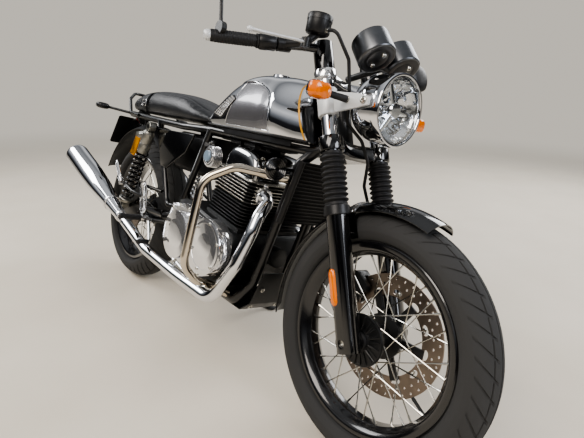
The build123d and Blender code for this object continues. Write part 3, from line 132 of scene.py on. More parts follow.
def square_to(axis: Any, hint: Optional[Points] = None) -> Tuple[Points, Points]:
    """Two unit vectors square to each axis and to each other.

    Args:
        axis: directions, last axis X, Y, Z.
        hint: a direction the first vector is square to; by default Z, or X near Z.
    Returns:
        hint x axis, and axis x that.
    """
    axis = unit(axis)
    if hint is None:
        hint = np.where(np.abs(axis[..., 2:3]) < 0.9, UP, AHEAD)
    first = unit(np.cross(hint, axis))
    return first, np.cross(axis, first)


def around(count: int) -> Points:
    """Angles evenly spaced round one turn, from 0 to one step short of it."""
    return np.linspace(0, 2 * np.pi, count, endpoint=False)


def rounded_ring(count: int, power: float) -> Tuple[Points, Points]:
    """The closed line |u|^power + |v|^power = 1: a circle at 2, nearer to a square above it.

    Args:
        count: points round the line.
        power: how square it is.
    Returns:
        The points' u and v.
    """
    u, v = np.cos(around(count)), np.sin(around(count))
    out = (np.abs(u) ** power + np.abs(v) ** power) ** (-1 / power)
    return out * u, out * v


def border(patch: Points) -> Points:
    """The closed line of points along a patch's four edges."""
    return np.concatenate([patch[:, 0], patch[-1, 1:], patch[-2::-1, -1], patch[0, -2:0:-1]])


def turned(profile: Any, base: Any, axis: Any, sides: int = 48) -> Points:
    """Turned bodies: each point is base + along * axis + out * (cos a, sin a square to the axis).

    Args:
        profile: pairs (along, out) in mm.
        base: one or many origins.
        axis: one or many directions, as many as the origins.
        sides: points round the turn.
    Returns:
        An array (..., profile point, angle, 3).
    """
    profile = np.asarray(profile, float)
    base, axis = np.broadcast_arrays(np.asarray(base, float), unit(axis))
    first, second = square_to(axis)
    angle = around(sides)[:, None]
    ring = np.cos(angle) * first[..., None, :] + np.sin(angle) * second[..., None, :]
    along, out = profile[:, 0, None, None], profile[:, 1, None, None]
    return base[..., None, None, :] + along * axis[..., None, None, :] + out * ring[..., None, :, :]


def piped(path: Points, radius: Any, sides: int = 20, hint: Points = LEFT,
          flat: float = 1.0) -> Points:
    """A round or oval bar along a line: path + radius * (cos a, flat * sin a) square to its direction.

    Args:
        path: points of the centre line.
        radius: one radius or one for each point.
        sides: points round the bar.
        hint: a direction the line never runs along.
        flat: share of the radius kept along the hint's own side.
    Returns:
        An array (path point, angle, 3).
    """
    path = np.asarray(path, float)
    first, second = square_to(np.gradient(path, axis=0), np.asarray(hint, float))
    angle = around(sides)[None, :, None]
    radius = np.broadcast_to(radius, len(path))[:, None, None]
    ring = np.cos(angle) * first[:, None, :] + flat * np.sin(angle) * second[:, None, :]
    return path[:, None, :] + radius * ring


def bent(corners: Any, bend: float, step: float = 3.0) -> Points:
    """The centre line of a bent tube: straight runs joined by arcs tangent to both.

    Args:
        corners: the corner points.
        bend: radius of each bend.
        step: distance between points along an arc.
    Returns:
        The line's points.
    """
    corners = np.asarray(corners, float)
    line = [corners[:1]]
    for before, corner, after in zip(corners[:-2], corners[1:-1], corners[2:]):
        back, on = unit(before - corner), unit(after - corner)
        half = 0.5 * math.acos(float(np.clip(back @ on, -1, 1)))
        radius = min(bend, 0.49 * math.tan(half) * min(np.linalg.norm(before - corner),
                                                       np.linalg.norm(after - corner)))
        centre = corner + unit(back + on) * radius / math.sin(half)
        start = unit(corner + back * radius / math.tan(half) - centre)
        end = unit(corner + on * radius / math.tan(half) - centre)
        sweep = math.pi - 2 * half
        share = np.linspace(0, 1, max(3, int(radius * sweep / step)))[:, None]
        line.append(centre + radius * (np.sin((1 - share) * sweep) * start + np.sin(share * sweep) * end)
                    / math.sin(sweep))
    line.append(corners[-1:])
    return np.concatenate(line)


def smooth_line(knots: Any, count: int = 40) -> Points:
    """A smooth curve through knots: cubic runs whose slopes are the knots' central differences.

    Args:
        knots: rows of any number of columns.
        count: points wanted.
    Returns:
        count rows along the curve, evenly spaced in knots.
    """
    knots = np.asarray(knots, float)
    return hermite(np.arange(len(knots), dtype=float), knots, np.linspace(0, len(knots) - 1, count))


def hermite(at: Points, values: Points, where: Points) -> Points:
    """Cubic interpolation of columns: value and slope blended on each run (Hermite's four weights).

    Args:
        at: increasing stations.
        values: one row for each station.
        where: the stations wanted, of any shape.
    Returns:
        An array of where's shape with values' columns last.
    """
    slopes = np.gradient(values, at, axis=0)
    index = np.clip(np.searchsorted(at, where, side="right") - 1, 0, len(at) - 2)
    run = (at[index + 1] - at[index])[..., None]
    t = ((where - at[index])[..., None] / run)
    return ((2 * t ** 3 - 3 * t ** 2 + 1) * values[index] + (t ** 3 - 2 * t ** 2 + t) * run * slopes[index]
            + (3 * t ** 2 - 2 * t ** 3) * values[index + 1] + (t ** 3 - t ** 2) * run * slopes[index + 1])


def arc_through(start: Points, middle: Points, end: Points, share: Points) -> Points:
    """Points at a share of the circular arc from start through middle to end, in a plane.

    Args:
        start, middle, end: arrays of points, last axis two numbers.
        share: 0 at the start, 1 at the end, one for each row of points.
    Returns:
        centre + radius * (cos, sin) of the angle at that share.
    """
    (ax, ay), (bx, by), (cx, cy) = (np.moveaxis(p, -1, 0) for p in (start, middle, end))
    d = 2 * (ax * (by - cy) + bx * (cy - ay) + cx * (ay - by))
    a2, b2, c2 = ax ** 2 + ay ** 2, bx ** 2 + by ** 2, cx ** 2 + cy ** 2
    ux = (a2 * (by - cy) + b2 * (cy - ay) + c2 * (ay - by)) / d
    uy = (a2 * (cx - bx) + b2 * (ax - cx) + c2 * (bx - ax)) / d
    first = np.arctan2(ay - uy, ax - ux)
    mid = (np.arctan2(by - uy, bx - ux) - first) % (2 * np.pi)
    last = (np.arctan2(cy - uy, cx - ux) - first) % (2 * np.pi)
    last = np.where(mid <= last, last, last - 2 * np.pi)
    radius = np.hypot(ax - ux, ay - uy)
    angle = first + share * last
    return np.stack([ux + radius * np.cos(angle), uy + radius * np.sin(angle)], -1)


def smoothstep(value: Points) -> Points:
    """3t^2 - 2t^3 of the value kept between 0 and 1."""
    t = np.clip(value, 0.0, 1.0)
    return t * t * (3 - 2 * t)


class Skin:
    """The surface of one piece, gathered from patches of points in upright millimetres."""

    def __init__(self, name: str) -> None:
        """Start an empty skin with the piece's name."""
        self.name = name
        self.points: List[Points] = []
        self.faces: List[Tuple[Points, int]] = []
        self.count = 0

    def _keep(self, points: Points) -> int:
        """Store points and return the number of the first one."""
        first = self.count
        self.points.append(points.reshape(-1, 3))
        self.count += self.points[-1].shape[0]
        return first

    def grid(self, patch: Points, rows_close: bool = False, ring: bool = True, slot: int = 0,
             lids: bool = False) -> "Skin":
        """Add patches (..., rows, columns, 3) as four-sided faces between neighbouring points.

        Args:
            patch: the points.
            rows_close: the last row joins the first.
            ring: the last column joins the first.
            slot: which of the piece's finishes it has.
            lids: close the first and last rows with one face each.
        Returns:
            The skin itself.
        """
        rows, cols = patch.shape[-3:-1]
        index = self._keep(patch) + np.arange(patch.size // 3).reshape(-1, rows, cols)
        if lids:
            self.faces.append((np.concatenate([index[:, 0, ::-1], index[:, -1]]), slot))
        if rows_close:
            index = np.concatenate([index, index[:, :1]], 1)
        if ring:
            index = np.concatenate([index, index[:, :, :1]], 2)
        quads = np.stack([index[:, :-1, :-1], index[:, 1:, :-1], index[:, 1:, 1:], index[:, :-1, 1:]], -1)
        self.faces.append((quads.reshape(-1, 4), slot))
        return self

    def turn(self, profile: Any, base: Any, axis: Any, sides: int = 48, **how: Any) -> "Skin":
        """Add turned bodies: the arguments are those of turned, then any of grid."""
        return self.grid(turned(profile, base, axis, sides), **how)

    def bar(self, path: Points, radius: Any, sides: int, hint: Points, flat: float = 1.0) -> "Skin":
        """Add a bar with closed ends along a line: the arguments are those of piped."""
        return self.grid(piped(path, radius, sides, hint, flat), lids=True)

    def sheet(self, face: Points, back: Points, backed: bool = True) -> "Skin":
        """Add a sheet: its face, its back unless it is hidden, and the rim between their borders."""
        self.grid(face, ring=False)
        if backed:
            self.grid(back, ring=False)
        return self.grid(np.stack([border(back), border(face)]))

    def rods(self, start: Any, end: Any, radius: Any, tip: Any = None, sides: int = 12, slot: int = 0) -> "Skin":
        """Add straight round bars, each start + t * (end - start) with the radius going over to the tip's."""
        start, end = np.broadcast_arrays(np.asarray(start, float), np.asarray(end, float))
        first, second = square_to(end - start)
        angle = around(sides)[:, None]
        ring = np.cos(angle) * first[..., None, :] + np.sin(angle) * second[..., None, :]
        near = np.broadcast_to(radius, start.shape[:-1])[..., None, None]
        far = near if tip is None else np.broadcast_to(tip, start.shape[:-1])[..., None, None]
        ends = np.stack([start[..., None, :] + near * ring, end[..., None, :] + far * ring], -3)
        return self.grid(ends, slot=slot, lids=True)

    def plate(self, outline: Any, origin: Any, across: Any, up: Any, thick: float, slot: int = 0) -> "Skin":
        """Add a flat plate: the outline in the plane of across and up, and the same moved by its thickness."""
        outline, across, up = np.asarray(outline, float), unit(across), unit(up)
        face = np.asarray(origin, float) + outline[:, :1] * across + outline[:, 1:] * up
        return self.grid(np.stack([face, face + thick * np.cross(across, up)]), slot=slot, lids=True)

    def bolts(self, spots: Any, ways: Any, radius: float, high: float, slot: int = 0) -> "Skin":
        """Add cap screws: a turned head with a chamfer and a six-sided recess, sunk a little at its foot."""
        head = [(-0.4 * high, radius), (0.8 * high, radius), (high, 0.85 * radius)]
        well = [(high, 0.52 * radius), (0.35 * high, 0.5 * radius), (0.35 * high, 0.0)]
        return self.turn(head + well, spots, ways, 12, slot=slot)

    def build(self, finishes: Sequence[str], body: Body, slot: str, stands_for: Sequence[str] = (),
              crease: float = 38.0, bevel: float = 0.0) -> bpy.types.Object:
        """Make the mesh object, dress it and hang it on its body.

        Args:
            finishes: names of its finishes, in slot order.
            body: the body it moves with.
            slot: the record's material slot; not used.
            stands_for: CAD nodes it takes the place of.
            crease: edges sharper than this many degrees stay sharp.
            bevel: width in mm of a bevel on the sharp edges.
        Returns:
            The object.
        """
        mesh = bpy.data.meshes.new(self.name)
        faces, slots = [], []
        for array, number in self.faces:
            faces += array.tolist()
            slots.append(np.full(len(array), number, np.int32))
        mesh.from_pydata(parked(np.concatenate(self.points)).tolist(), [], faces)
        mesh.polygons.foreach_set("material_index", np.concatenate(slots))
        tidy(mesh, 2e-6)
        return settle(self.name, mesh, finishes, body, stands_for, crease, bevel)


def tidy(mesh: bpy.types.Mesh, gap: float, flats: bool = False) -> None:
    """Merge a mesh's doubled points, drop faces without area and turn its faces outwards.

    Args:
        mesh: the mesh, changed in place.
        gap: points nearer than this, in metres, are one.
        flats: join the triangles of each flat face.
    """
    work = bmesh.new()
    work.from_mesh(mesh)
    bmesh.ops.remove_doubles(work, verts=work.verts, dist=gap)
    bmesh.ops.dissolve_degenerate(work, edges=work.edges, dist=1e-7)
    if flats:
        bmesh.ops.dissolve_limit(work, angle_limit=math.radians(0.6), verts=work.verts, edges=work.edges)
    bmesh.ops.recalc_face_normals(work, faces=work.faces)
    work.to_mesh(mesh)
    work.free()


def settle(name: str, mesh: bpy.types.Mesh, finishes: Sequence[str], body: Body,
           stands_for: Sequence[str] = (), crease: float = 38.0, bevel: float = 0.0) -> bpy.types.Object:
    """Put a mesh into the scene as a finished piece; the arguments are those of Skin.build."""
    obj = bpy.data.objects.new(name, mesh)
    bpy.context.scene.collection.objects.link(obj)
    for finish in finishes:
        mesh.materials.append(FINISHES[finish].material())
    mesh.shade_smooth()
    if bevel:
        rounding = obj.modifiers.new("rounded_edges", "BEVEL")
        rounding.width = bevel / 1000.0
        rounding.segments = 2
        rounding.limit_method = "ANGLE"
        rounding.angle_limit = math.radians(crease)
        rounding.harden_normals = True
    else:
        mesh.set_sharp_from_angle(angle=math.radians(crease))
    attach(obj, body.value)
    if stands_for:
        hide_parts(*stands_for)
    log.info("%s: %d faces on %s", name, len(mesh.polygons), body.value)
    return obj


def dressed_copy(node: str, finishes: Sequence[str], bevel: float = 0.0, crease: float = 30.0,
                 pick: Any = None) -> bpy.types.Object:
    """A copy of a CAD node whose triangles are joined, with its edges rounded, standing for the node.

    Args:
        node: the CAD node.
        finishes: its finishes.
        bevel: width of the rounding in mm.
        crease: edges sharper than this many degrees are rounded.
        pick: turns face centres in upright mm into finish numbers.
    Returns:
        The new object.
    """
    mesh = frame["nodes"][node].data.copy()
    mesh.materials.clear()
    tidy(mesh, 2e-5, flats=True)
    if pick is not None:
        centres = np.empty(3 * len(mesh.polygons))
        mesh.polygons.foreach_get("center", centres)
        upright = (centres.reshape(-1, 3) - SHIFT) @ TURN * 1000.0
        mesh.polygons.foreach_set("material_index", pick(upright).astype(np.int32))
    body = next(b for b, nodes in frame["record"]["behaviour"]["bodies"].items() if node in nodes)
    return settle(node + "_dressed", mesh, finishes, Body(body), (node,), crease, bevel)


def dress(*rows: Tuple[str, str, float]) -> None:
    """Dressed copies of several nodes: each row is the node, its finish and its bevel."""
    for node, finish, bevel in rows:
        dressed_copy(node, [finish], bevel)


# Finishes


def linear(code: str) -> Tuple[float, float, float, float]:
    """An sRGB hex colour as linear red, green, blue and full alpha."""
    raw = np.array([int(code[i:i + 2], 16) / 255.0 for i in (1, 3, 5)])
    value = np.where(raw <= 0.04045, raw / 12.92, ((raw + 0.055) / 1.055) ** 2.4)
    return (float(value[0]), float(value[1]), float(value[2]), 1.0)


def add(tree: bpy.types.NodeTree, kind: str, inputs: Dict[Any, Any], **settings: Any) -> bpy.types.Node:
    """Add a node with its settings; inputs are values or sockets to link, by name or number."""
    node = tree.nodes.new(kind)
    for key, value in settings.items():
        setattr(node, key, value)
    for key, value in inputs.items():
        if isinstance(value, bpy.types.NodeSocket):
            tree.links.new(value, node.inputs[key])
        else:
            node.inputs[key].default_value = value
    return node


@dataclass(frozen=True)
class Finish:
    """One real surface: its colours, gloss and fine relief. Sizes are real millimetres."""

    name: str
    colour: str
    tint: str
    metallic: float = 0.0
    roughness: float = 0.5
    haze: float = 0.1
    patch: float = 30.0
    grain: Grain = Grain.NONE
    grain_size: float = 1.0
    relief: float = 0.0
    coat: float = 0.0
    sheen: float = 0.0
    clear: float = 0.0
    ior: float = 1.5
    centre: Tuple[float, float, float] = (0.0, 0.0, 0.0)
    stretch: Tuple[float, float, float] = (1.0, 1.0, 1.0)

    def material(self) -> bpy.types.Material:
        """The finish as a node material, made once.

        Soft noise the size of a patch mixes the tint into the colour and moves the gloss; the
        grain is noise, pores, drawn lines or turning rings, bumped by its relief.
        """
        found = bpy.data.materials.get(self.name)
        if found:
            return found
        material = bpy.data.materials.new(self.name)
        material.use_nodes = True
        tree = material.node_tree
        shader = tree.nodes["Principled BSDF"]
        place = add(tree, "ShaderNodeTexCoord", {}).outputs["Object"]
        soft = add(tree, "ShaderNodeTexNoise", {"Vector": place, "Scale": 1000.0 / self.patch, "Detail": 4.0})
        blend = add(tree, "ShaderNodeMix", {0: soft.outputs["Fac"], 6: linear(self.colour), 7: linear(self.tint)},
                    data_type="RGBA")
        tree.links.new(blend.outputs[2], shader.inputs["Base Color"])
        gloss = add(tree, "ShaderNodeMapRange", {"Value": soft.outputs["Fac"], "From Min": 0.3, "From Max": 0.7,
                                                 "To Min": max(0.02, self.roughness * (1 - self.haze)),
                                                 "To Max": min(1.0, self.roughness * (1 + self.haze))})
        tree.links.new(gloss.outputs[0], shader.inputs["Roughness"])
        shader.inputs["Metallic"].default_value = self.metallic
        shader.inputs["Coat Weight"].default_value = self.coat
        shader.inputs["Coat Roughness"].default_value = 0.06
        shader.inputs["Sheen Weight"].default_value = self.sheen
        shader.inputs["Transmission Weight"].default_value = self.clear
        if not self.metallic:
            shader.inputs["IOR"].default_value = self.ior
        if self.grain is not Grain.NONE:
            bump = add(tree, "ShaderNodeBump", {"Height": self._height(tree, place), "Strength": 1.0,
                                                "Distance": self.relief / 1000.0})
            tree.links.new(bump.outputs["Normal"], shader.inputs["Normal"])
        return material

    def _height(self, tree: bpy.types.NodeTree, place: bpy.types.NodeSocket) -> bpy.types.NodeSocket:
        """The grain's height pattern, from 0 to 1."""
        scale = 1000.0 / self.grain_size
        upright = add(tree, "ShaderNodeMapping", {"Vector": place, "Location": tuple(parked(self.centre)),
                                                  "Rotation": (-LEAN, 0.0, 0.0)}, vector_type="TEXTURE")
        if self.grain is Grain.PORES:
            cells = add(tree, "ShaderNodeTexVoronoi", {"Vector": place, "Scale": scale}, feature="DISTANCE_TO_EDGE")
            return add(tree, "ShaderNodeMapRange", {"Value": cells.outputs["Distance"], "From Max": 0.22}).outputs[0]
        if self.grain is Grain.RINGS:
            flat = add(tree, "ShaderNodeVectorMath", {0: upright.outputs[0], 1: (1.0, 0.0, 1.0)},
                       operation="MULTIPLY")
            away = add(tree, "ShaderNodeVectorMath", {0: flat.outputs[0]}, operation="LENGTH")
            return add(tree, "ShaderNodeTexNoise", {"W": away.outputs["Value"], "Scale": scale},
                       noise_dimensions="1D").outputs["Fac"]
        source = place
        if self.grain is Grain.BRUSHED:
            source = add(tree, "ShaderNodeVectorMath", {0: upright.outputs[0], 1: self.stretch},
                         operation="MULTIPLY").outputs[0]
        return add(tree, "ShaderNodeTexNoise", {"Vector": source, "Scale": scale, "Detail": 3.0}).outputs["Fac"]


# One row each, named for what the real surface is. A comment says what it gives the eye.
FINISHES = {finish.name: finish for finish in (
    # Moulded tyre rubber: near black, dull, with a fine cast skin
    Finish("tyre_rubber", "#141416", "#1E1E20", roughness=0.5, haze=0.2, grain=Grain.CAST, grain_size=1.4,
           relief=0.12),
    # Moulded black rubber of sleeves, grips and pads: dull and even
    Finish("moulded_rubber", "#0D0D0F", "#151517", roughness=0.55, grain=Grain.CAST, grain_size=0.8, relief=0.06),
    # Gloss black enamel under clear lacquer: deep black with sharp reflections
    Finish("black_enamel", "#050506", "#09090B", roughness=0.14, coat=0.8, patch=90.0),
    # Black stove enamel on tubes: gloss with a slight ripple
    Finish("stove_enamel", "#070708", "#0C0C0D", roughness=0.3, coat=0.25, grain=Grain.CAST, grain_size=9.0,
           relief=0.05),
    # Satin black paint on castings: cast grain under a thin coat
    Finish("satin_casting", "#0C0D0E", "#131415", roughness=0.42, haze=0.2, grain=Grain.CAST, grain_size=1.6,
           relief=0.10),
    # Powder coated black aluminium rims: gloss with soft edges
    Finish("rim_black", "#0B0B0D", "#121215", roughness=0.2, coat=0.7, patch=50.0),
    # Chrome plate on polished steel: mirror with a very faint polishing haze
    Finish("chrome_plate", "#E4E5E8", "#D6D7DA", metallic=1.0, roughness=0.05, haze=0.5, patch=45.0,
           grain=Grain.CAST, grain_size=60.0, relief=0.25),
    # Chrome tinted beige as a painted reflection of the pale floor: a little warmer and less sharp
    Finish("floor_reflection_chrome", "#DAD2C6", "#C4B8A6", metallic=1.0, roughness=0.09, haze=0.4, patch=60.0),
    # Polished cast aluminium: bright, soft reflections with cloudy patches
    Finish("polished_alloy", "#B2B1AD", "#8F8E89", metallic=1.0, roughness=0.15, haze=0.5, patch=26.0,
           grain=Grain.CAST, grain_size=22.0, relief=0.20),
    # Silver paint on cast brackets: fine metallic flake, satin
    Finish("silver_paint", "#84827D", "#6C6A66", metallic=0.95, roughness=0.34, grain=Grain.CAST, grain_size=1.2,
           relief=0.04),
    # Bare machined fin edges: bright satin aluminium
    Finish("fin_edge", "#E6E4DE", "#CBC8C0", metallic=0.85, roughness=0.24, patch=12.0),
    # Bead-blasted alloy of the shock bodies: light grey, satin, a little soiled
    Finish("shock_alloy", "#A9A8A2", "#7C7B75", metallic=0.9, roughness=0.36, patch=14.0, grain=Grain.CAST,
           grain_size=2.0, relief=0.08),
    # Stainless spoke wire: bright and smooth
    Finish("spoke_wire", "#C9C7C1", "#A9A69E", metallic=1.0, roughness=0.18, patch=25.0),
    # Zinc plated bolts: bright satin
    Finish("bolt_zinc", "#D0CFCA", "#B0AFA9", metallic=1.0, roughness=0.25, patch=8.0),
    # Ground stainless brake disc with a brown film: fine turning rings
    Finish("front_disc_steel", "#7D7168", "#93877B", metallic=1.0, roughness=0.36, patch=35.0, grain=Grain.RINGS,
           grain_size=0.9, relief=0.06, centre=tuple(FRONT_AXLE)),
    Finish("rear_disc_steel", "#7D7168", "#93877B", metallic=1.0, roughness=0.36, patch=35.0, grain=Grain.RINGS,
           grain_size=0.9, relief=0.06, centre=tuple(REAR_AXLE)),
    # Brushed dark steel of the instrument cups: dim streaked highlights round the cup
    Finish("brushed_dark", "#6E7073", "#55575A", metallic=1.0, roughness=0.33, patch=20.0, grain=Grain.BRUSHED,
           grain_size=3.0, relief=0.05, stretch=(1.0, 6.0, 1.0)),
    # Moulded black plastic: soft sheen and a fine grain
    Finish("moulded_black", "#09090A", "#0F0F11", roughness=0.4, grain=Grain.CAST, grain_size=0.9, relief=0.05),
    # Tanned black hide: small pores, soft blue-grey sheen
    Finish("seat_hide", "#0B0D11", "#12151B", roughness=0.36, haze=0.15, patch=70.0, grain=Grain.PORES,
           grain_size=2.6, relief=0.14, sheen=0.06),
    # Waxed strap leather: smoother and darker
    Finish("strap_hide", "#0A0B0D", "#101216", roughness=0.42, grain=Grain.PORES, grain_size=1.8, relief=0.10),
    # Grey satin paint of the tank's side panels: mid grey with some flake under a gloss coat
    Finish("panel_grey", "#77777B", "#67676B", metallic=0.55, roughness=0.22, coat=0.8, patch=80.0),
    # Gold pinstripe paint: warm yellow with a satin gloss
    Finish("stripe_gold", "#D9A441", "#C9912B", metallic=0.2, roughness=0.3, coat=0.6),
    # Amber moulded lens: bright orange, wet gloss
    Finish("amber_lens", "#FF8A00", "#F57600", roughness=0.14, clear=0.25, coat=0.6, patch=12.0, ior=1.49),
    # Red moulded lens: deep red, wet gloss
    Finish("red_lens", "#B20E0E", "#8F0A0A", roughness=0.14, clear=0.25, coat=0.6, patch=12.0, ior=1.49),
    # Smoke grey lens of the rear indicators: pale grey, soft gloss
    Finish("smoke_lens", "#9A9D9F", "#85888A", roughness=0.2, clear=0.1, coat=0.5, patch=10.0, ior=1.49),
    # Clear lamp glass: seen through, with sharp highlights
    Finish("lamp_glass", "#FFFFFF", "#F6FAFC", roughness=0.03, clear=1.0, ior=1.45),
    # Bright vacuum-plated reflector behind the glass: a mirror that its facets break up
    Finish("reflector", "#EDEEF0", "#DADCDF", metallic=1.0, roughness=0.08, patch=18.0),
    # Off-white printed dial marks and pointers: flat and matt
    Finish("dial_white", "#E6E3D8", "#D8D5CA", roughness=0.55),
    # Polished cast cover that mirrors a dark room: deeper and sharper than the other castings
    Finish("dark_mirror", "#B9B9B9", "#A3A3A3", metallic=1.0, roughness=0.1, haze=0.5, patch=40.0, grain=Grain.CAST,
           grain_size=40.0, relief=0.25),
    # Pale blue-grey moulded plug: cool grey with half a gloss
    Finish("blue_plug", "#8FA3B4", "#7C90A2", metallic=0.3, roughness=0.3, patch=10.0),
    # Gold anodised reservoir: orange gold with a soft metal gloss
    Finish("gold_anodised", "#D9981F", "#C2820F", metallic=0.85, roughness=0.3, patch=15.0),
    # Oiled chain steel: dull dark metal with a brown cast
    Finish("chain_steel", "#6B6660", "#4E4A45", metallic=1.0, roughness=0.4, patch=6.0),
    # Silvered mirror glass: a clean sharp mirror
    Finish("mirror_glass", "#E9EDEF", "#E0E4E6", metallic=1.0, roughness=0.02),
    # Hose rubber with a woven outer: dull black with a fine even grain
    Finish("hose_black", "#101011", "#18181A", roughness=0.5, grain=Grain.CAST, grain_size=0.7, relief=0.05),
)}


# Wheels


@dataclass
class Wheel:
    """A wire-spoked wheel: tyre, rim, laced spokes, hub and disc, all turned about one axle.

    The tyre has a radius, the radius of its tread's crown and half a width; rim_half and bead_half are
    half the rim's widths outside and between the beads; flange is the hub flange's radius and
    flange_half its distance from the middle; bead, lip and bed are radii of the rim; grooves stand at
    shares of the tread's half width; disc is where the brake disc's two faces lie across the axle.
    """

    name: str
    body: Body
    axle: Points
    radius: float
    crown: float
    half: float
    rim_half: float
    bead_half: float
    flange: float
    grooves: Tuple[float, ...]
    sipe_pitch: int
    disc: Tuple[float, float]
    bands: Tuple[Tuple[float, ...], ...]
    bead: float = 228.9
    lip: float = 241.0
    bed: float = 207.0
    flange_half: float = 36.0
    groove_depth: float = 3.6
    spokes_a_row: int = 9
    lacing: float = math.radians(50.0)
    valve_at: float = 2.1

    def about(self, across: Any, out: Any, angle: Any) -> Points:
        """Points of the wheel: axle + across * left + out * (sin a forward, cos a up)."""
        across, out, angle = np.broadcast_arrays(across, out, angle)
        return self.axle + np.stack([out * np.sin(angle), across, out * np.cos(angle)], -1)

    def tyre(self) -> None:
        """The tyre: its section turned round the axle, with the tread's grooves pressed in.

        The tread is an arc of the crown radius. A point at share s across it is let in where
        |s - groove| < 0.025, and where |s| is 0.2 to 0.93 and its angle lies 0.41 to 0.57 of a pitch
        on. The sipes are curved, because column s is turned on by 1.5 |s|^1.4 pitches and by half a
        smooth step from one side to the other.
        """
        reach = math.asin(self.half / self.crown)
        lips = np.array(self.grooves)[:, None] + np.array([-0.03, -0.022, 0.022, 0.03])
        share = np.unique(np.concatenate([np.linspace(-1, 1, 47), lips.ravel()]).round(5))
        side, wide = np.abs(share), len(share)
        tread = np.stack([self.crown * np.sin(share * reach),
                          self.radius - self.crown + self.crown * np.cos(share * reach)], -1)
        shoulder, low = tread[-1], np.array([self.bead_half + 9.5, 246.0])
        wall = arc_through(shoulder, np.array([self.half + 0.5, shoulder[1] - 15]), low, np.linspace(0.06, 1, 12))
        wall[3:5, 0] += 0.5
        right = np.concatenate([wall, [[self.bead_half, 243.0], [self.bead_half, self.bead]]])
        section = np.concatenate([tread, right, right[::-1] * [-1, 1]])
        pitch = 2 * np.pi / self.sipe_pitch
        part = np.array([0.0, 0.14, 0.28, 0.40, 0.41, 0.57, 0.58, 0.72, 0.86])
        angle = ((np.arange(self.sipe_pitch)[:, None] + part) * pitch).ravel()[:, None]
        # Each column of points is turned on by the sipes' curve, so their walls follow the mesh
        lean = np.zeros(len(section))
        lean[:wide] = 1.5 * side ** 1.4 + 0.5 * smoothstep(share / 0.3 + 0.5)
        lean[wide:] = np.linspace(lean[wide - 1], lean[0], len(section) - wide)
        in_sipe = np.tile((part > 0.405) & (part < 0.575), self.sipe_pitch)[:, None]
        sipe = in_sipe & ((side > 0.2) & (side < 0.93))
        line = (np.abs(share[:, None] - np.array(self.grooves)) < 0.025).any(-1)
        depth = np.zeros((len(angle), len(section)))
        depth[:, :wide] = self.groove_depth * (sipe | line)
        patch = self.about(section[:, 0], section[:, 1] - depth, angle - lean * pitch)
        Skin(f"{self.name}_tyre_skin").grid(patch, rows_close=True).build(
            ["tyre_rubber"], self.body, "tyre_rubber", [f"{self.name}_tyre"], crease=34)

    def rim(self) -> None:
        """The rim: a dropped-centre hoop with rolled lips, its section turned about the axle."""
        lip, seat = self.rim_half, self.bead_half + 0.3
        outer = [(lip, self.lip - 3), (lip, 229), (lip - 3, 222), (0.62 * lip, 213.5), (0.45 * lip, 210),
                 (14, self.bed + 0.4), (10, self.bed)]
        inner = [(10, 217), (20, 228.4), (seat, 228.6), (seat, self.lip - 3), (seat + 2, self.lip), (lip - 2, self.lip)]
        half = np.array(outer + inner)
        section = np.concatenate([half[7:], half[:7], half[:7][::-1] * [-1, 1], half[7:][::-1] * [-1, 1]])
        angle = around(180)[:, None]
        Skin(f"{self.name}_rim_hoop").grid(self.about(section[:, 0], section[:, 1], angle), rows_close=True).build(
            ["rim_black"], self.body, "black_rim", [f"{self.name}_rim"], crease=32)

    def spokes(self) -> None:
        """Thirty-six spokes in four rows, with their nipples.

        Each row has a side, a leading or trailing lean, and leaves the flange on its own face; a spoke's
        foot stands one lacing angle behind or ahead of its nipple, as in tangential lacing.
        """
        many = self.spokes_a_row
        side = np.repeat([-1.0, -1.0, 1.0, 1.0], many)
        turn = np.tile(np.repeat([-1.0, 1.0], many), 2)
        row = np.repeat(np.arange(4), many)
        at_rim = np.radians(360.0 / many * (np.tile(np.arange(many), 4) + row / 4.0))
        at_hub = at_rim - turn * self.lacing
        foot = self.about(side * (self.flange_half + 3.5 * turn), self.flange + 2.2, at_hub)
        head = self.about(side * (8.0 + 1.6 * turn), self.bed - 0.6, at_rim)
        way = unit(head - foot)
        elbow = self.about(side * (self.flange_half - 4.6 * turn), self.flange - 4.5, at_hub)
        skin = Skin(f"{self.name}_spoke_set")
        skin.rods(foot, head, 1.7, sides=6)
        skin.rods(foot + way, elbow, 1.7, sides=6)
        skin.rods(head - way * 15, head + way * 1.5, 2.6, 3.1, sides=6)
        skin.build(["spoke_wire"], self.body, "spoke_steel", [f"{self.name}_spokes"], crease=45)

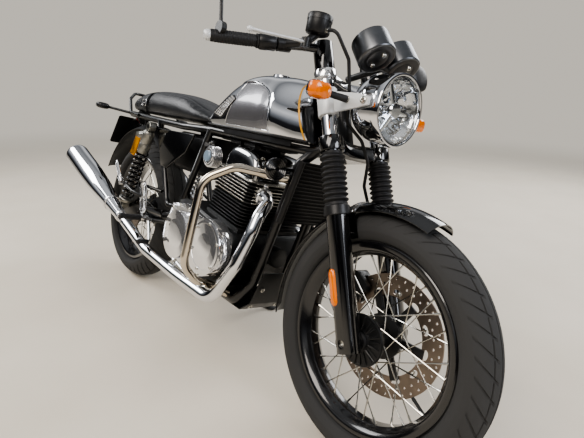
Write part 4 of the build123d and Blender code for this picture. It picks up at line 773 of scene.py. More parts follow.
    def rotor(self) -> None:
        """The brake disc: bands of cells, each cell pierced by an oval hole.

        A row of bands is its inner radius, outer radius, cells, hole's half height, hole's half
        width and the shift of its cells as a share of a cell. A cell's face runs from its hole,
        (cos, sin) of the angle times the hole's two radii, to its four-sided edge; edge points are
        evenly spaced, so neighbouring bands share them. The holes' walls join the two faces.
        """
        low, high = self.disc
        skin = Skin(f"{self.name}_disc_face")
        total = 360
        for inner, outer, cells, hole_high, hole_wide, offset in self.bands:
            per = total // cells
            u = np.linspace(-1, 1, per + 1)
            edge = np.concatenate([np.stack([u[:-1], -np.ones(per)], -1), [[1, -1], [1, 0]],
                                   np.stack([u[:0:-1], np.ones(per)], -1), [[-1, 1], [-1, 0]]])
            middle, half, pitch = (inner + outer) / 2, (outer - inner) / 2, np.pi / cells
            where = np.arctan2(edge[:, 1] * half, edge[:, 0] * pitch * middle)
            hole = np.stack([np.cos(where) * hole_wide / (middle * pitch), np.sin(where) * hole_high / half], -1)
            ring = np.stack([hole, edge])
            turn = (np.arange(cells) + offset)[:, None, None] * 2 * pitch + ring[..., 0] * pitch
            out = np.broadcast_to(middle + ring[..., 1] * half, turn.shape)
            for across in (low, high):
                skin.grid(self.about(across, out, turn))
            skin.grid(np.stack([self.about(low, out[:, 0], turn[:, 0]), self.about(high, out[:, 0], turn[:, 0])], 1))
        angle = around(total)
        for out in (self.bands[0][0], self.bands[-1][1]):
            skin.grid(np.stack([self.about(low, out, angle), self.about(high, out, angle)]))
        skin.build([f"{self.name}_disc_steel"], self.body, "disc_steel", [f"{self.name}_disc"], crease=30)

    def valve(self) -> None:
        """The tube valve that stands in from the rim, with its cap."""
        foot, tip = (self.about(0.0, self.bed + out, self.valve_at) for out in (1, -34))
        skin = Skin(f"{self.name}_valve").rods(foot, tip, 4.0).rods(tip, tip + unit(tip - foot) * 9, 4.8, 3.6)
        skin.build(["moulded_rubber"], self.body, "black_rubber")

    def make(self) -> None:
        """Every piece that both wheels have."""
        self.tyre()
        self.rim()
        self.spokes()
        self.valve()
        self.rotor()
        dressed_copy(f"{self.name}_hub", ["satin_casting"], bevel=1.0)


@dataclass
class FrontWheel(Wheel):
    """The front wheel with its ribbed hub cover and pierced disc."""

    name: str = "front"
    body: Body = Body.FRONT_WHEEL
    axle: Points = field(default_factory=lambda: FRONT_AXLE)
    radius: float = 318.0
    crown: float = 52.0
    half: float = 50.0
    rim_half: float = 38.0
    bead_half: float = 31.0
    flange: float = 58.0
    grooves: Tuple[float, ...] = (-0.36, 0.0, 0.36)
    sipe_pitch: int = 46
    disc: Tuple[float, float] = (56.0, 61.0)
    bands: Tuple[Tuple[float, ...], ...] = (
        (104, 127, 12, 8.0, 14.0, 0.0), (127, 141, 36, 3.4, 3.4, 0.0), (141, 160, 36, 3.4, 3.4, 0.5))

    def make(self) -> None:
        """The shared pieces, then the ribbed hub cover, its cap and the disc's bolts."""
        super().make()
        angle = around(12)
        skin = Skin("front_hub_cover")
        skin.turn([(-44, 63), (-50, 65), (-54.2, 63), (-54.6, 57), (-52, 54), (-54.2, 30), (-58, 27), (-58, 0)],
                  self.axle, LEFT, 72)
        skin.rods(self.about(-57.4, 26.0, angle), self.about(-53.6, 60.0, angle), 2.4, 2.0, sides=6)
        skin.build(["satin_casting"], self.body, "black_cast", crease=40)
        cap = [(-55, 24), (-60, 24), (-65, 21), (-68, 15), (-69, 8), (-69.2, 0)]
        Skin("front_hub_cap").turn(cap, self.axle, LEFT, 40).build(["moulded_rubber"], self.body, "black_rubber")
        skin = Skin("front_disc_bolts")
        skin.bolts(self.about(60.0, 110.0, angle[::2]), LEFT, 6.0, 3.5)
        skin.bolts(self.about(58.0, 40.0, angle[::2]), LEFT, 5.0, 3.5)
        skin.build(["bolt_zinc"], self.body, "plain_steel")


@dataclass
class RearWheel(Wheel):
    """The rear wheel with its disc and the bolts of its sprocket and disc."""

    name: str = "rear"
    body: Body = Body.REAR_WHEEL
    axle: Points = field(default_factory=lambda: REAR_AXLE)
    radius: float = 319.5
    crown: float = 68.0
    half: float = 65.0
    rim_half: float = 50.0
    bead_half: float = 43.0
    flange: float = 70.0
    grooves: Tuple[float, ...] = (-0.22, 0.22)
    sipe_pitch: int = 44
    disc: Tuple[float, float] = (-79.0, -74.0)
    bands: Tuple[Tuple[float, ...], ...] = (
        (72, 90, 10, 6.0, 10.0, 0.0), (90, 104, 36, 3.2, 3.2, 0.0), (104, 120, 36, 3.2, 3.2, 0.5))

    def make(self) -> None:
        """The shared pieces, then the bolts."""
        super().make()
        angle = around(6)
        skin = Skin("rear_sprocket_bolts").bolts(self.about(83.6, 60.0, angle), LEFT, 6.5, 6.0)
        skin.bolts(self.about(-80.0, 78.0, angle), -LEFT, 6.0, 3.5)
        skin.build(["bolt_zinc"], self.body, "plain_steel")


# Steering


@dataclass
class Fork:
    """The telescopic fork: chrome tubes, gaiters, black sliders, clamps and small fittings."""

    tube: float = 20.5
    gaiter: Tuple[float, float] = (331.0, 467.0)
    pleats: int = 9

    def leg(self, profile: Any, sides: int = 56) -> Points:
        """Both legs' turned patches for a profile of (height up the leg, radius)."""
        base = np.stack([steer(FORK_OFFSET, side * FORK_HALF, 0.0) for side in SIDES])
        return turned(profile, base, np.broadcast_to(FORK_UP, base.shape), sides)

    def tubes(self) -> None:
        """The chrome tubes with their chamfered caps."""
        profile = [(325, 0), (325, self.tube), (697, self.tube), (700, self.tube - 3), (700, 12), (698, 12), (698, 0)]
        Skin("fork_tube_pair").grid(self.leg(profile)).build(["chrome_plate"], Body.STEERING, "chrome",
                                                            ["fork_tubes"], crease=30)

    def gaiters(self) -> None:
        """The pleated sleeves, with plain bands at both ends.

        radius = 29.4 - 3.1 |c|^0.8 with c's sign, where c is the cosine of the height, one turn a pleat.
        """
        low, high = self.gaiter
        height = np.linspace(low + 7, high - 7, self.pleats * 12 + 1)
        wave = np.cos((height - low - 7) / (high - low - 14) * 2 * np.pi * self.pleats)
        radius = 29.4 - 3.1 * np.sign(wave) * np.abs(wave) ** 0.8
        skin = Skin("gaiter_pair")
        ends = [(low, 20.8), (low, 29), (low + 6, 29)], [(high - 6, 27), (high, 27), (high, 20.8)]
        profile = np.concatenate([ends[0], np.stack([height, radius], -1), ends[1]])
        skin.grid(self.leg(profile)).build(["moulded_rubber"], Body.STEERING, "black_rubber", ["fork_gaiters"])

    def fittings(self) -> None:
        """Dust caps, axle pinch bolts and the clamp bolts."""
        cap = [(322, 21), (329.5, 21), (330.4, 24), (330.4, 31), (328, 33), (306, 33), (304, 29.4), (322, 29.4)]
        Skin("slider_caps").grid(self.leg(cap), rows_close=True).build(
            ["moulded_black"], Body.STEERING, "black_plastic")
        skin = Skin("fork_bolts")
        for side in SIDES:
            pinch = [steer(FORK_OFFSET - 26, side * (FORK_HALF + 6), 10),
                     steer(FORK_OFFSET - 21, side * FORK_HALF, 256)]
            clamp = [steer(FORK_OFFSET + 20, side * (FORK_HALF - 16), up) for up in (480, 498)]
            skin.bolts(np.array(pinch), 0.5 * side * LEFT - FORK_OUT, 6.0, 5.0)
            skin.bolts(np.array(clamp), FORK_OUT - 0.4 * side * LEFT, 6.5, 6.0)
        skin.bolts(np.array([steer(FORK_OFFSET, side * (FORK_HALF + 18), 0) for side in SIDES]),
                   np.array([side * LEFT for side in SIDES]), 10.0, 4.0)
        skin.build(["bolt_zinc"], Body.STEERING, "plain_steel")

    def reflectors(self) -> None:
        """The amber side reflectors: upright strips with round ends, domed by (1 - u^4)(1 - h^10)."""
        height, u = np.linspace(-1, 1, 22)[:, None], np.linspace(-1, 1, 13)
        width = 12.5 * np.sqrt(np.clip(1 - np.abs(height) ** 9, 0, 1))
        dome = 7 * (1 - u ** 4) * (1 - height ** 10)
        skin = Skin("side_reflectors")
        for side in SIDES:
            across, out = unit(FORK_OUT + 0.35 * side * LEFT), unit(side * LEFT - 0.35 * FORK_OUT)
            flat = steer(FORK_OFFSET - 10, side * (FORK_HALF + 26), 131 + 46 * height) + (width * u)[..., None] * across
            skin.sheet(flat + dome[..., None] * out, flat - 4 * out)
        skin.build(["amber_lens"], Body.STEERING, "amber_plastic")

    def hose(self) -> None:
        """The front brake hose: from the reservoir, round ahead of the headstock, down behind the left leg."""
        out = steer(-math.sin(math.radians(32)), 0, math.cos(math.radians(32))) - steer(0, 0, 0)
        end = steer(-50.5, 56, 162.4) + 0.1 * out
        start = np.array([1146.3, -152.0, 1032.0])
        run = np.array([start, (1183, -152, 1032), (1197, -102, 976), (1199, -78, 908), (1190, -50, 830),
                        steer(62, 0, 510), steer(58, 24, 455), steer(10, 60, 405), steer(-6, 96, 340),
                        steer(-6, 96, 240), end + 30 * out, end])
        line = bent(run, 22.0, 2.0)
        Skin("front_brake_hose").bar(line, 4.5, 14, (0.1, 0.9, 0.3)).build(
            ["hose_black"], Body.STEERING, "black_rubber", ["brake_hose"])
        ends = Skin("hose_ends")
        for foot, way, high in ((end, out, 11), (start, AHEAD, 12)):
            ends.rods(foot, foot + high * way, 6.4, sides=24)
            ends.rods(foot + 2 * way, foot + 6 * way, 7.0, sides=6)
        ends.build(["bolt_zinc"], Body.STEERING, "plain_steel")

    def make(self) -> None:
        """The whole fork."""
        self.hose()
        self.tubes()
        self.gaiters()
        self.fittings()
        self.reflectors()
        dress(("fork_sliders", "black_enamel", 2.0), ("lower_clamp", "black_enamel", 1.6),
              ("top_clamp", "polished_alloy", 1.6), ("front_axle", "bolt_zinc", 1.0))


@dataclass
class Headlight:
    """The round headlight: chrome bowl and rim, fluted glass, plated reflector and silver ears."""

    centre: Points = point(1290.0, 0.0, 880.0)
    bowl: float = 88.0
    glass: float = 82.0
    sides: int = 96
    rings: int = 5
    facets: int = 14

    def shell(self) -> None:
        """The bowl, a sphere's back half on a short barrel, and the beaded rim."""
        theta = np.linspace(0.01, np.pi / 2, 28)
        back = np.stack([-26 - self.bowl * np.cos(theta), self.bowl * np.sin(theta)], -1)
        inside = [(-2, self.bowl), (-2, self.bowl - 5), (-26, self.bowl - 5), (-60, 70), (-100, 20), (-100, 0)]
        outline = np.concatenate([[(back[0, 0], 0.0)], back, inside])
        Skin("headlight_bowl").turn(outline, self.centre, AHEAD, self.sides).build(
            ["chrome_plate"], Body.STEERING, "chrome", ["headlight_shell"])
        rim = [(-3, 88.4), (-1, 91), (6, 92), (18, 92), (21.5, 90.5), (22.5, 87), (21.5, 84), (18, 82.4), (-3, 82.4)]
        Skin("headlight_rim").turn(rim, self.centre, AHEAD, self.sides, rows_close=True).build(
            ["chrome_plate"], Body.STEERING, "chrome")

    def reflector(self) -> None:
        """The reflector: a bowl, along = -52 + 60 t^2 and out = 14 + 67 t, broken into rings of facets."""
        share = np.linspace(0, 1, 24)
        patch = turned(np.stack([-52 + 60 * share ** 2, 14 + 67 * share], -1), self.centre, AHEAD, self.sides)
        ring = (share * self.rings)[:, None]
        facet = (around(self.sides) * self.facets / (2 * np.pi) + 0.5 * np.floor(ring)) % 1.0
        ripple = 5.0 * (np.abs(facet - 0.5) + 0.5 * (ring % 1.0))
        patch = patch - (ripple * share[:, None])[..., None] * AHEAD
        Skin("headlight_reflector").grid(patch).turn([(-52, 14), (-56, 14), (-56, 0)], self.centre, AHEAD, 96).build(
            ["reflector"], Body.STEERING, "chrome", ["headlight_lens"], crease=12)

    def bulb(self) -> None:
        """The bulb's three-armed shield and the bulb behind it."""
        shield = Skin("headlight_shield")
        middle = self.centre + 2.0 * AHEAD
        for across, up in ((1.0, 0.0), (-0.5, 0.82), (-0.5, -0.82)):
            tip = middle + [-2.0, 70 * across, 70 * up]
            shield.bar(np.linspace(middle, tip, 6), np.arange(11.0, 5.0, -1.0), 16, AHEAD, 0.3)
        shield.turn([(-6, 0), (-6, 20), (0, 21), (5, 18), (7, 0)], middle, AHEAD, 40)
        shield.build(["reflector"], Body.STEERING, "chrome", crease=30)
        outline = [(-55, 9), (-30, 9), (-30, 16), (-24, 17), (-10, 15), (-6, 10), (-5, 0)]
        Skin("headlight_bulb").turn(outline, self.centre, AHEAD, 32).build(
            ["reflector"], Body.STEERING, "chrome", crease=30)

    def lens(self) -> None:
        """The clear glass: a shallow dome, along = 19 + 9 (1 - (out / radius)^2), 2.6 mm thick."""
        out = np.concatenate([[0.0], np.linspace(3, self.glass, 60)])[:, None]
        angle = around(240)
        front = 19 + 9 * (1 - (out / self.glass) ** 2) + 0 * angle
        face = self.centre + np.stack([front, out * np.cos(angle), out * np.sin(angle)], -1)
        back = face - 2.6 * AHEAD
        skin = Skin("headlight_glass").grid(face).grid(back).grid(np.stack([face[-1], back[-1]]))
        skin.build(["lamp_glass"], Body.STEERING, "clear_glass", crease=60)

    def make(self) -> None:
        """The whole headlight."""
        self.shell()
        self.reflector()
        self.bulb()
        self.lens()
        dressed_copy("headlight_brackets", ["silver_paint"], bevel=2.0)
        skin = Skin("headlight_fixings")
        for side in SIDES:
            skin.bolts(np.array([(1276.0, side * 104.0, 881.0), (1222.0, side * 104.0, 880.0)]), side * LEFT, 9.0, 5.0)
        skin.build(["bolt_zinc"], Body.STEERING, "plain_steel")


@dataclass
class Cockpit:
    """What the rider handles and reads: cups, clip-ons, grips, levers, reservoir and mirrors."""

    inner: Points = point(1095.0, 108.0, 1003.0)
    outer: Points = point(980.0, 368.0, 958.0)
    cup: Tuple[float, float, float] = (1227.0, 54.0, 1014.0)
    bracket_up: float = 985.0
    tilt: float = math.radians(50.0)
    pivot: Points = point(1118.0, 184.0, 994.0)
    tip: Points = point(1086.0, 330.0, 980.0)
    reservoir: Points = point(1117.0, -152.0, 1022.0)

    def instruments(self) -> None:
        """Two cups with bezels, dials and glasses on a bracket."""
        way = np.array([-math.cos(self.tilt), 0.0, math.sin(self.tilt)])
        middles = np.array([[self.cup[0], side * self.cup[1], self.cup[2]] for side in SIDES])
        ways = np.broadcast_to(way, middles.shape)
        skin = Skin("instrument_cups")
        wall = [(-31, 44), (-30, 46.5), (-27, 48.4), (-24, 49), (25, 49), (30, 48.6), (31, 47), (31, 44.5), (28, 44)]
        skin.turn(wall, middles, ways, 72)
        skin.turn([(-31, 44), (-31, 30), (-30.2, 28), (-31, 26), (-31, 0)], middles, ways, 72, slot=1)
        skin.turn([(28, 44), (26, 43.8), (26, 0)], middles, ways, 72, slot=1)
        bracket = np.array([self.cup[0], 0.0, self.bracket_up])
        skin.rods(bracket - self.cup[1] * LEFT, bracket + self.cup[1] * LEFT, 9, slot=1)
        skin.rods(bracket, steer(FORK_OFFSET - 6, 0, 697.5), 9, slot=1)
        skin.build(["brushed_dark", "moulded_black"], Body.STEERING, "gloss_black", ["instruments"])
        across, up = square_to(way)
        mark = np.radians(np.arange(-130, 131, 10.0))
        skin = Skin("dial_marks")
        for middle in middles:
            spot = middle + 26.3 * way
            ring = np.sin(mark)[:, None] * -across + np.cos(mark)[:, None] * -up
            length = np.where(np.arange(len(mark)) % 2, 35.0, 31.0)[:, None]
            skin.rods(spot + ring * length, spot + ring * 39.0, 0.7, sides=4)
            skin.rods(spot - ring[6] * 6, spot + ring[6] * 33.0, 1.4, 0.6, sides=4)
        skin.build(["dial_white"], Body.STEERING, "gloss_black")
        skin = Skin("cup_glasses").turn([(29, 0), (29, 44.2), (27.6, 44.2), (27.6, 0)], middles, ways, 64)
        skin.build(["lamp_glass"], Body.STEERING, "clear_glass")
        skin = Skin("cup_bolts")
        ring = np.array([-19.0, 19.0])[:, None] * up
        for middle in middles:
            skin.bolts(middle - 31 * way + ring, -way, 6.5, 7.0)
        skin.build(["bolt_zinc"], Body.STEERING, "plain_steel")

    def grips(self) -> None:
        """The moulded grips, ribbed along their length, and the bright bar-end weights."""
        skin, ends = Skin("grip_pair"), Skin("bar_end_weights")
        for side in SIDES:
            outer = mirrored(self.outer, side)
            way = mirrored(unit(self.outer - self.inner), side)
            height = np.linspace(-114, -4, 67)
            radius = 15.2 + 0.7 * (np.sin(height * 0.9) > 0) - 1.2 * np.abs((height + 59) / 55) ** 6
            profile = np.concatenate([[(-118, 11.4), (-118, 17.5), (-114, 17.5)], np.stack([height, radius], -1),
                                      [(0, 14.5), (0, 11.4)]])
            skin.turn(profile, outer, way, 40)
            ends.turn([(0.3, 0), (0.3, 12), (2, 13), (10, 13), (14, 11.5), (16.3, 8), (16.3, 5), (12, 4.5),
                       (12, 0)], outer, way, 36)
        skin.build(["moulded_rubber"], Body.STEERING, "black_rubber", ["bar_grips"])
        ends.build(["silver_paint"], Body.STEERING, "plain_steel")

    def levers(self) -> None:
        """Perches, switch housings, ball-ended levers and the brake reservoir.

        A lever is an oval bar along a smooth line from its pivot to its tip, thick at both ends.
        """
        black, bright = Skin("control_housings"), Skin("lever_pair")
        way = unit(self.outer - self.inner)
        for side in SIDES:
            outer, go = mirrored(self.outer, side), mirrored(way, side)
            pivot, tip = mirrored(self.pivot, side), mirrored(self.tip, side)
            hold = outer - go * 185
            for cuff in ([(-204, 11.4), (-204, 16), (-202, 19), (-168, 19), (-166, 17), (-165, 11.4)],
                         [(-164, 11.4), (-164, 18), (-161, 20), (-124, 20), (-120, 17.5), (-120, 11.4)]):
                black.turn(cuff, outer, go, 36)
            black.rods(hold + unit(pivot - hold) * 14, pivot, 12.0, 10.0, sides=20)
            black.rods(pivot - [0, 0, 11], pivot + [0, 0, 11], 12.0, sides=24)
            black.bolts(pivot + [0, 0, 11.0], [0, 0, 1.0], 6.0, 3.0)
            line = smooth_line([pivot, pivot + (tip - pivot) * 0.22 + np.array([5, 0, 1]),
                                pivot + (tip - pivot) * 0.6 + np.array([3, 0, 0]), tip], 40)
            share = np.linspace(0, 1, 40)
            size = 7.4 - 1.9 * np.sin(np.pi * share ** 0.7)
            bright.bar(line, size, 20, UP, 0.62)
            bright.turn([(-7.4, 0), (-6.6, 3.4), (-4, 6.2), (0, 7.4), (4, 6.2), (6.6, 3.4), (7.4, 0)], tip,
                        unit(tip - pivot), 24)
        pot = [(0, 0), (0, 22), (3, 29), (6, 31), (34, 31.4), (34, 32.4), (46, 32.4), (49, 30.5), (49, 0)]
        black.turn(pot, self.reservoir, UP, 56)
        black.rods(mirrored(self.pivot, -1), self.reservoir + 4 * UP, 10.0, sides=20)
        black.build(["moulded_black"], Body.STEERING, "black_cast", ["hand_controls"])
        bright.build(["silver_paint"], Body.STEERING, "silver_paint")

    def mirrors(self) -> None:
        """Bar-end mirrors: a stalk each, a dished head with a bright rim, and the glass towards the rider."""
        rows = [((995.2, -352, 979.2), (962, -352, 1086), (955, -356, 1117)),
                ((995.2, 353, 977.4), (1060, 394, 1038), (1056, 402, 1060))]
        way = unit([1, 0, 0.25])
        skin, glass = Skin("mirror_heads"), Skin("mirror_glasses")
        for foot, head, centre in rows:
            centre = np.asarray(centre, float)
            side = math.copysign(1.0, centre[1])
            skin.rods(foot, head, 5.0, sides=16)
            skin.rods(np.array(foot) - [0, 7 * side, 0], np.array(foot) + [0, 7 * side, 0], 16.4, sides=32)
            skin.turn([(2, 38), (0.4, 40), (0.4, 42), (2, 43), (5, 43)], centre, way, 64, slot=1)
            skin.turn([(5, 43), (7, 42.5), (11, 36), (13.4, 24), (14, 10), (14, 0)], centre, way, 64)
            skin.turn([(2, 38), (3, 30), (3, 0)], centre, way, 64)
            glass.turn([(1.9, 0), (1.6, 30), (1.2, 38.4), (2.6, 38.6), (2.8, 0)], centre, way, 64)
        skin.build(["moulded_black", "bolt_zinc"], Body.STEERING, "mirror_black", ["bar_end_mirrors"])
        glass.build(["mirror_glass"], Body.STEERING, "mirror_black")

    def clamp_bolts(self) -> None:
        """The clip-ons' bolts and caps, and the steering stem's six-sided nut."""
        skin = Skin("clamp_bolts")
        for side in SIDES:
            skin.bolts(steer(FORK_OFFSET - 27, side * (FORK_HALF - 6), 720), -FORK_OUT, 5.5, 5.0)
            skin.turn([(0, 0), (0, 17), (2.5, 17), (4, 15), (4, 0)], steer(FORK_OFFSET, side * FORK_HALF, 766),
                      FORK_UP, 32)
        skin.turn([(688, 22), (694, 22), (697, 19), (697, 9), (693, 8), (693, 0)], steer(0, 0, 0), FORK_UP, 6)
        skin.build(["bolt_zinc"], Body.STEERING, "plain_steel")

    def make(self) -> None:
        """The whole cockpit."""
        self.instruments()
        self.grips()
        self.levers()
        self.mirrors()
        dress(("handlebars", "black_enamel", 1.2))
        self.clamp_bolts()


@dataclass
class Signals:
    """The turn signals and the tail lamp: lenses, bright or black shells, and stems."""

    front: Points = point(1200.0, 203.0, 878.0)
    rear: Points = point(-214.0, 205.0, 748.0)
    tail: Points = point(-186.0, 0.0, 738.0)
    tail_way: Points = point(-36.0, 0.0, -6.0)

    def oval(self, centre: Points, wide: float, high: float, rings: Sequence[Tuple[float, float]]) -> Points:
        """A body along X: rings |y/wide|^3 + |z/high|^3 = swell^3, one for each (along, swell)."""
        u, v = rounded_ring(48, 3)
        along, swell = np.array(rings, float).T[:, :, None, None]
        return centre + swell * np.stack([0 * u, wide * u, high * v], -1) + along * AHEAD

    def front_pair(self) -> None:
        """Amber lenses in chrome shells on rubber stems."""
        lens, shell, stem = Skin("front_signal_lenses"), Skin("front_signal_shells"), Skin("front_signal_stems")
        amber = [(14, 0), (14, 0.96), (20, 1), (32, 0.97), (40, 0.86), (43.4, 0.6), (44, 0)]
        cup = [(0, 0), (0.3, 0.45), (3, 0.8), (8, 0.97), (16, 1.04), (16, 0.9)]
        for side in SIDES:
            centre = mirrored(self.front, side)
            lens.grid(self.oval(centre, 28, 20.5, amber))
            shell.grid(self.oval(centre, 28, 20.5, cup))
            stem.rods((1222, side * 104.4, 880), (1216, side * 180, 878.5), 9.0, 8.0, sides=20)
        lens.build(["amber_lens"], Body.STEERING, "amber_plastic", ["front_indicators"])
        shell.build(["chrome_plate"], Body.STEERING, "chrome")
        stem.build(["moulded_rubber"], Body.STEERING, "black_rubber")

    def rear_set(self) -> None:
        """Smoke lenses in black shells, and the round tail lamp between them."""
        lens, shell, lamp = Skin("rear_signal_lenses"), Skin("rear_signal_shells"), Skin("tail_lamp_lens")
        smoke = [(26, 0.9), (24, 1), (16, 1), (6, 0.93), (1, 0.7), (0, 0)]
        cup = [(22, 1.02), (26, 1.03), (36, 1), (46, 0.8), (51, 0.45), (52, 0)]
        for side in SIDES:
            centre = mirrored(self.rear, side)
            lens.grid(self.oval(centre, 27, 13.6, smoke))
            shell.grid(self.oval(centre, 27, 13.6, cup))
            shell.rods((-76, side * 118, 742), (-186, side * 184, 747), 6.0, sides=16)
        shell.rods((-204, 0, 720), (-178.2, 0, 669.2), 8.0)
        shell.turn([(0, 0), (0, 30), (6, 36), (12, 36), (12, 34), (10, 0)], self.tail, self.tail_way, 48)
        lamp.turn([(11, 0), (11, 34), (26, 33), (33, 27), (36, 14), (36.4, 0)], self.tail, self.tail_way, 48)
        lens.build(["smoke_lens"], Body.CHASSIS, "grey_plastic", ["rear_lights"])
        shell.build(["moulded_black"], Body.CHASSIS, "black_plastic")
        lamp.build(["red_lens"], Body.CHASSIS, "grey_plastic")

    def make(self) -> None:
        """All the signals."""
        self.front_pair()
        self.rear_set()


# Mudguards


@dataclass
class Mudguards:
    """Both blades, the front one's side plates and polished brace, and the bare number plate board."""

    brace_at: float = math.radians(-22.0)
    brace_half: float = 13.0
    brace_thick: float = 1.4
    board: Points = field(default_factory=lambda: np.array([(-329.0, 0.0, 583.0), (-250.0, 0.0, 721.0)]))

    def blade(self, axle: Points, crown: float, half: float, drop: float, start: float, sweep: float,
              bead: float, wall: float = 3.0) -> Points:
        """A rolled mudguard: an arched section with beaded edges turned about the wheel's axle.

        The outer line is an arc through (-half, crown - drop), (0, crown), (half, crown - drop); the inner
        one lies a wall's thickness inside it; both edges turn in round a small bead.

        Args:
            axle: the wheel's axle.
            crown, half, drop, wall: size of the section.
            start, sweep: degrees from straight up towards the rear.
            bead: radius of the rolled edge.
        Returns:
            An array (station along the sweep, point round the section, 3).
        """
        share = np.linspace(0, 1, 33)
        left, top = np.array([-half, crown - drop]), np.array([0.0, crown])
        outer = arc_through(left, top, left * [-1, 1], share)
        inner = arc_through(left + [wall, 0], top - [0, wall], left * [-1, 1] - [wall, 0], share)[::-1]
        turn = np.linspace(0.2, np.pi - 0.2, 7)[:, None]
        edge = np.array([half - bead, crown - drop - 0.2]) + bead * np.concatenate([np.cos(turn), -np.sin(turn)], 1)
        section = np.concatenate([outer, edge, inner, edge[::-1] * [-1, 1]])
        angle = -np.radians(np.linspace(start, start + sweep, 90))[:, None]
        return axle + np.stack([section[:, 1] * np.sin(angle), section[:, 0] + 0 * angle,
                                section[:, 1] * np.cos(angle)], -1)

    def front(self) -> None:
        """The front blade, its two flat side plates and the pins that hold them to the sliders."""
        skin = Skin("front_blade").grid(self.blade(FRONT_AXLE, 343, 56, 26, -19, 120, 2.4), lids=True)
        outline = np.array([(248, -22), (323, -22), (323, 22), (248, 22)], float)
        for side in SIDES:
            skin.plate(outline * [1, -side], FRONT_AXLE + LEFT * side * 55.0, FORK_UP, np.cross(LEFT, FORK_UP),
                       side * -3.0)
            skin.rods(steer(FORK_OFFSET, side * 56, 262), steer(FORK_OFFSET, side * 68.7, 262), 9.0)
        skin.build(["black_enamel"], Body.STEERING, "gloss_black", ["front_mudguard"], crease=35)

    def brace(self) -> None:
        """The polished band over the front blade: an arc across it, swelled by a cosine over its width."""
        left, top = np.array([-58.5, 315.5]), np.array([0.0, 345.4])
        across, high = arc_through(left, top, left * [-1, 1], np.linspace(0.0, 1.0, 30)).T
        away = np.stack([high * math.sin(self.brace_at), across, high * math.cos(self.brace_at)], -1)
        along = np.array([math.cos(self.brace_at), 0.0, -math.sin(self.brace_at)])
        share = np.linspace(-1, 1, 9)[:, None]
        out = unit(away - 0.6 * away * [1, 0, 1])[:, None, :]
        face = (FRONT_AXLE + away)[:, None, :] + self.brace_half * share * along + 1.6 * np.cos(share * np.pi / 2) * out
        Skin("front_guard_brace").sheet(face, face - self.brace_thick * out).build(
            ["polished_alloy"], Body.STEERING, "polished_alloy")

    def rear(self) -> None:
        """The rear blade on its two posts."""
        skin = Skin("rear_blade").grid(self.blade(REAR_AXLE, 391.9, 86, 30, -40, 108, 2.2), lids=True)
        for side in SIDES:
            skin.rods((-60, side * 40.0, 700), (-60, side * 40.0, 728), 8.0)
        skin.build(["moulded_black"], Body.CHASSIS, "black_plastic", ["rear_mudguard"], crease=35)

    def plate(self) -> None:
        """The number plate's bare board, its corners cut, and the three rods behind it."""
        foot, top = self.board
        high = np.linalg.norm(top - foot)
        outline = [(-100, 6), (-94, 0), (94, 0), (100, 6), (100, high - 6), (94, high), (-94, high), (-100, high - 6)]
        skin = Skin("plate_board").plate(outline, foot, LEFT, top - foot, 3.0)
        skin.rods((-262, 0, 700), (-206, 0, 690), 7.0)
        for side in SIDES:
            skin.rods((-250, side * 30, 712), (-215, side * 22, 722), 5.0)
        skin.build(["moulded_black"], Body.CHASSIS, "black_plastic", bevel=0.6)

    def make(self) -> None:
        """Both mudguards with what they carry."""
        self.front()
        self.brace()
        self.rear()
        self.plate()


# Chassis and running gear


@dataclass
class Shock:
    """One rear shock: clevises, damper, coil spring, collars and a gold side reservoir."""

    side: int
    top: Points = point(222.0, 140.0, 703.0)
    low: Points = point(78.0, 140.0, 348.0)
    coils: float = 9.5
    wire: float = 4.6
    spring: float = 23.0

    def make(self, bright: Skin, black: Skin, gold: Skin) -> None:
        """Add this shock's patches; the spring's line is a helix: radius * (cos a, sin a) + pitch * a."""
        top, low = mirrored(self.top, self.side), mirrored(self.low, self.side)
        way = unit(top - low)
        length = float(np.linalg.norm(top - low))
        clevis = [(-14, 9.4), (-14, 17.5), (-12.5, 19), (12.5, 19), (14, 17.5), (14, 9.4)]
        for eye in (top, low):
            bright.turn(clevis, eye, LEFT, 36, rows_close=True)
            black.turn([(-15, 0), (-15, 9.2), (15, 9.2), (15, 0)], eye, LEFT, 24)
        # The damper's profile goes down from its upper eye
        damper = [(-16, 10), (-20, 19), (-30, 23.5), (-36, 24), (-70, 24), (-74, 22), (-80, 24), (-116, 24),
                  (-120, 22), (-120, 9)]
        bright.turn(damper, top, way, 44)
        bright.turn([(16, 9), (18, 28), (21, 30), (31, 30), (34, 27), (34, 9)], low, way, 44)
        black.turn([(30, 8.5), (length - 118, 8.5)], low, way, 20)
        turns = np.linspace(0, 2 * np.pi * self.coils, int(self.coils * 26))
        rise = 34.3 + self.wire + (length - 154.6 - 2 * self.wire) * turns / turns[-1]
        first, second = square_to(way)
        ring = np.cos(turns)[:, None] * first + np.sin(turns)[:, None] * second
        black.bar(low + rise[:, None] * way + self.spring * ring, self.wire, 10, way)
        tank = top - way * 20 + np.array([-64.0, self.side * 6.0, -18.0])
        gold.turn([(0, 0), (0, 17), (-3, 20), (-12, 20), (-14, 19), (-86, 19), (-88, 20), (-96, 20), (-100, 16),
                   (-100, 0)], tank, way, 40)
        bright.turn([(1, 0), (1, 14), (-1, 20.6), (-13, 20.6), (-13, 19)], tank, way, 40)
        bright.rods(top - way * 36, tank - way * 10, 13.0, 15.0, sides=24)
        bright.rods(top - way * 26, tank - way * 2, 9.0, 12.0, sides=24)


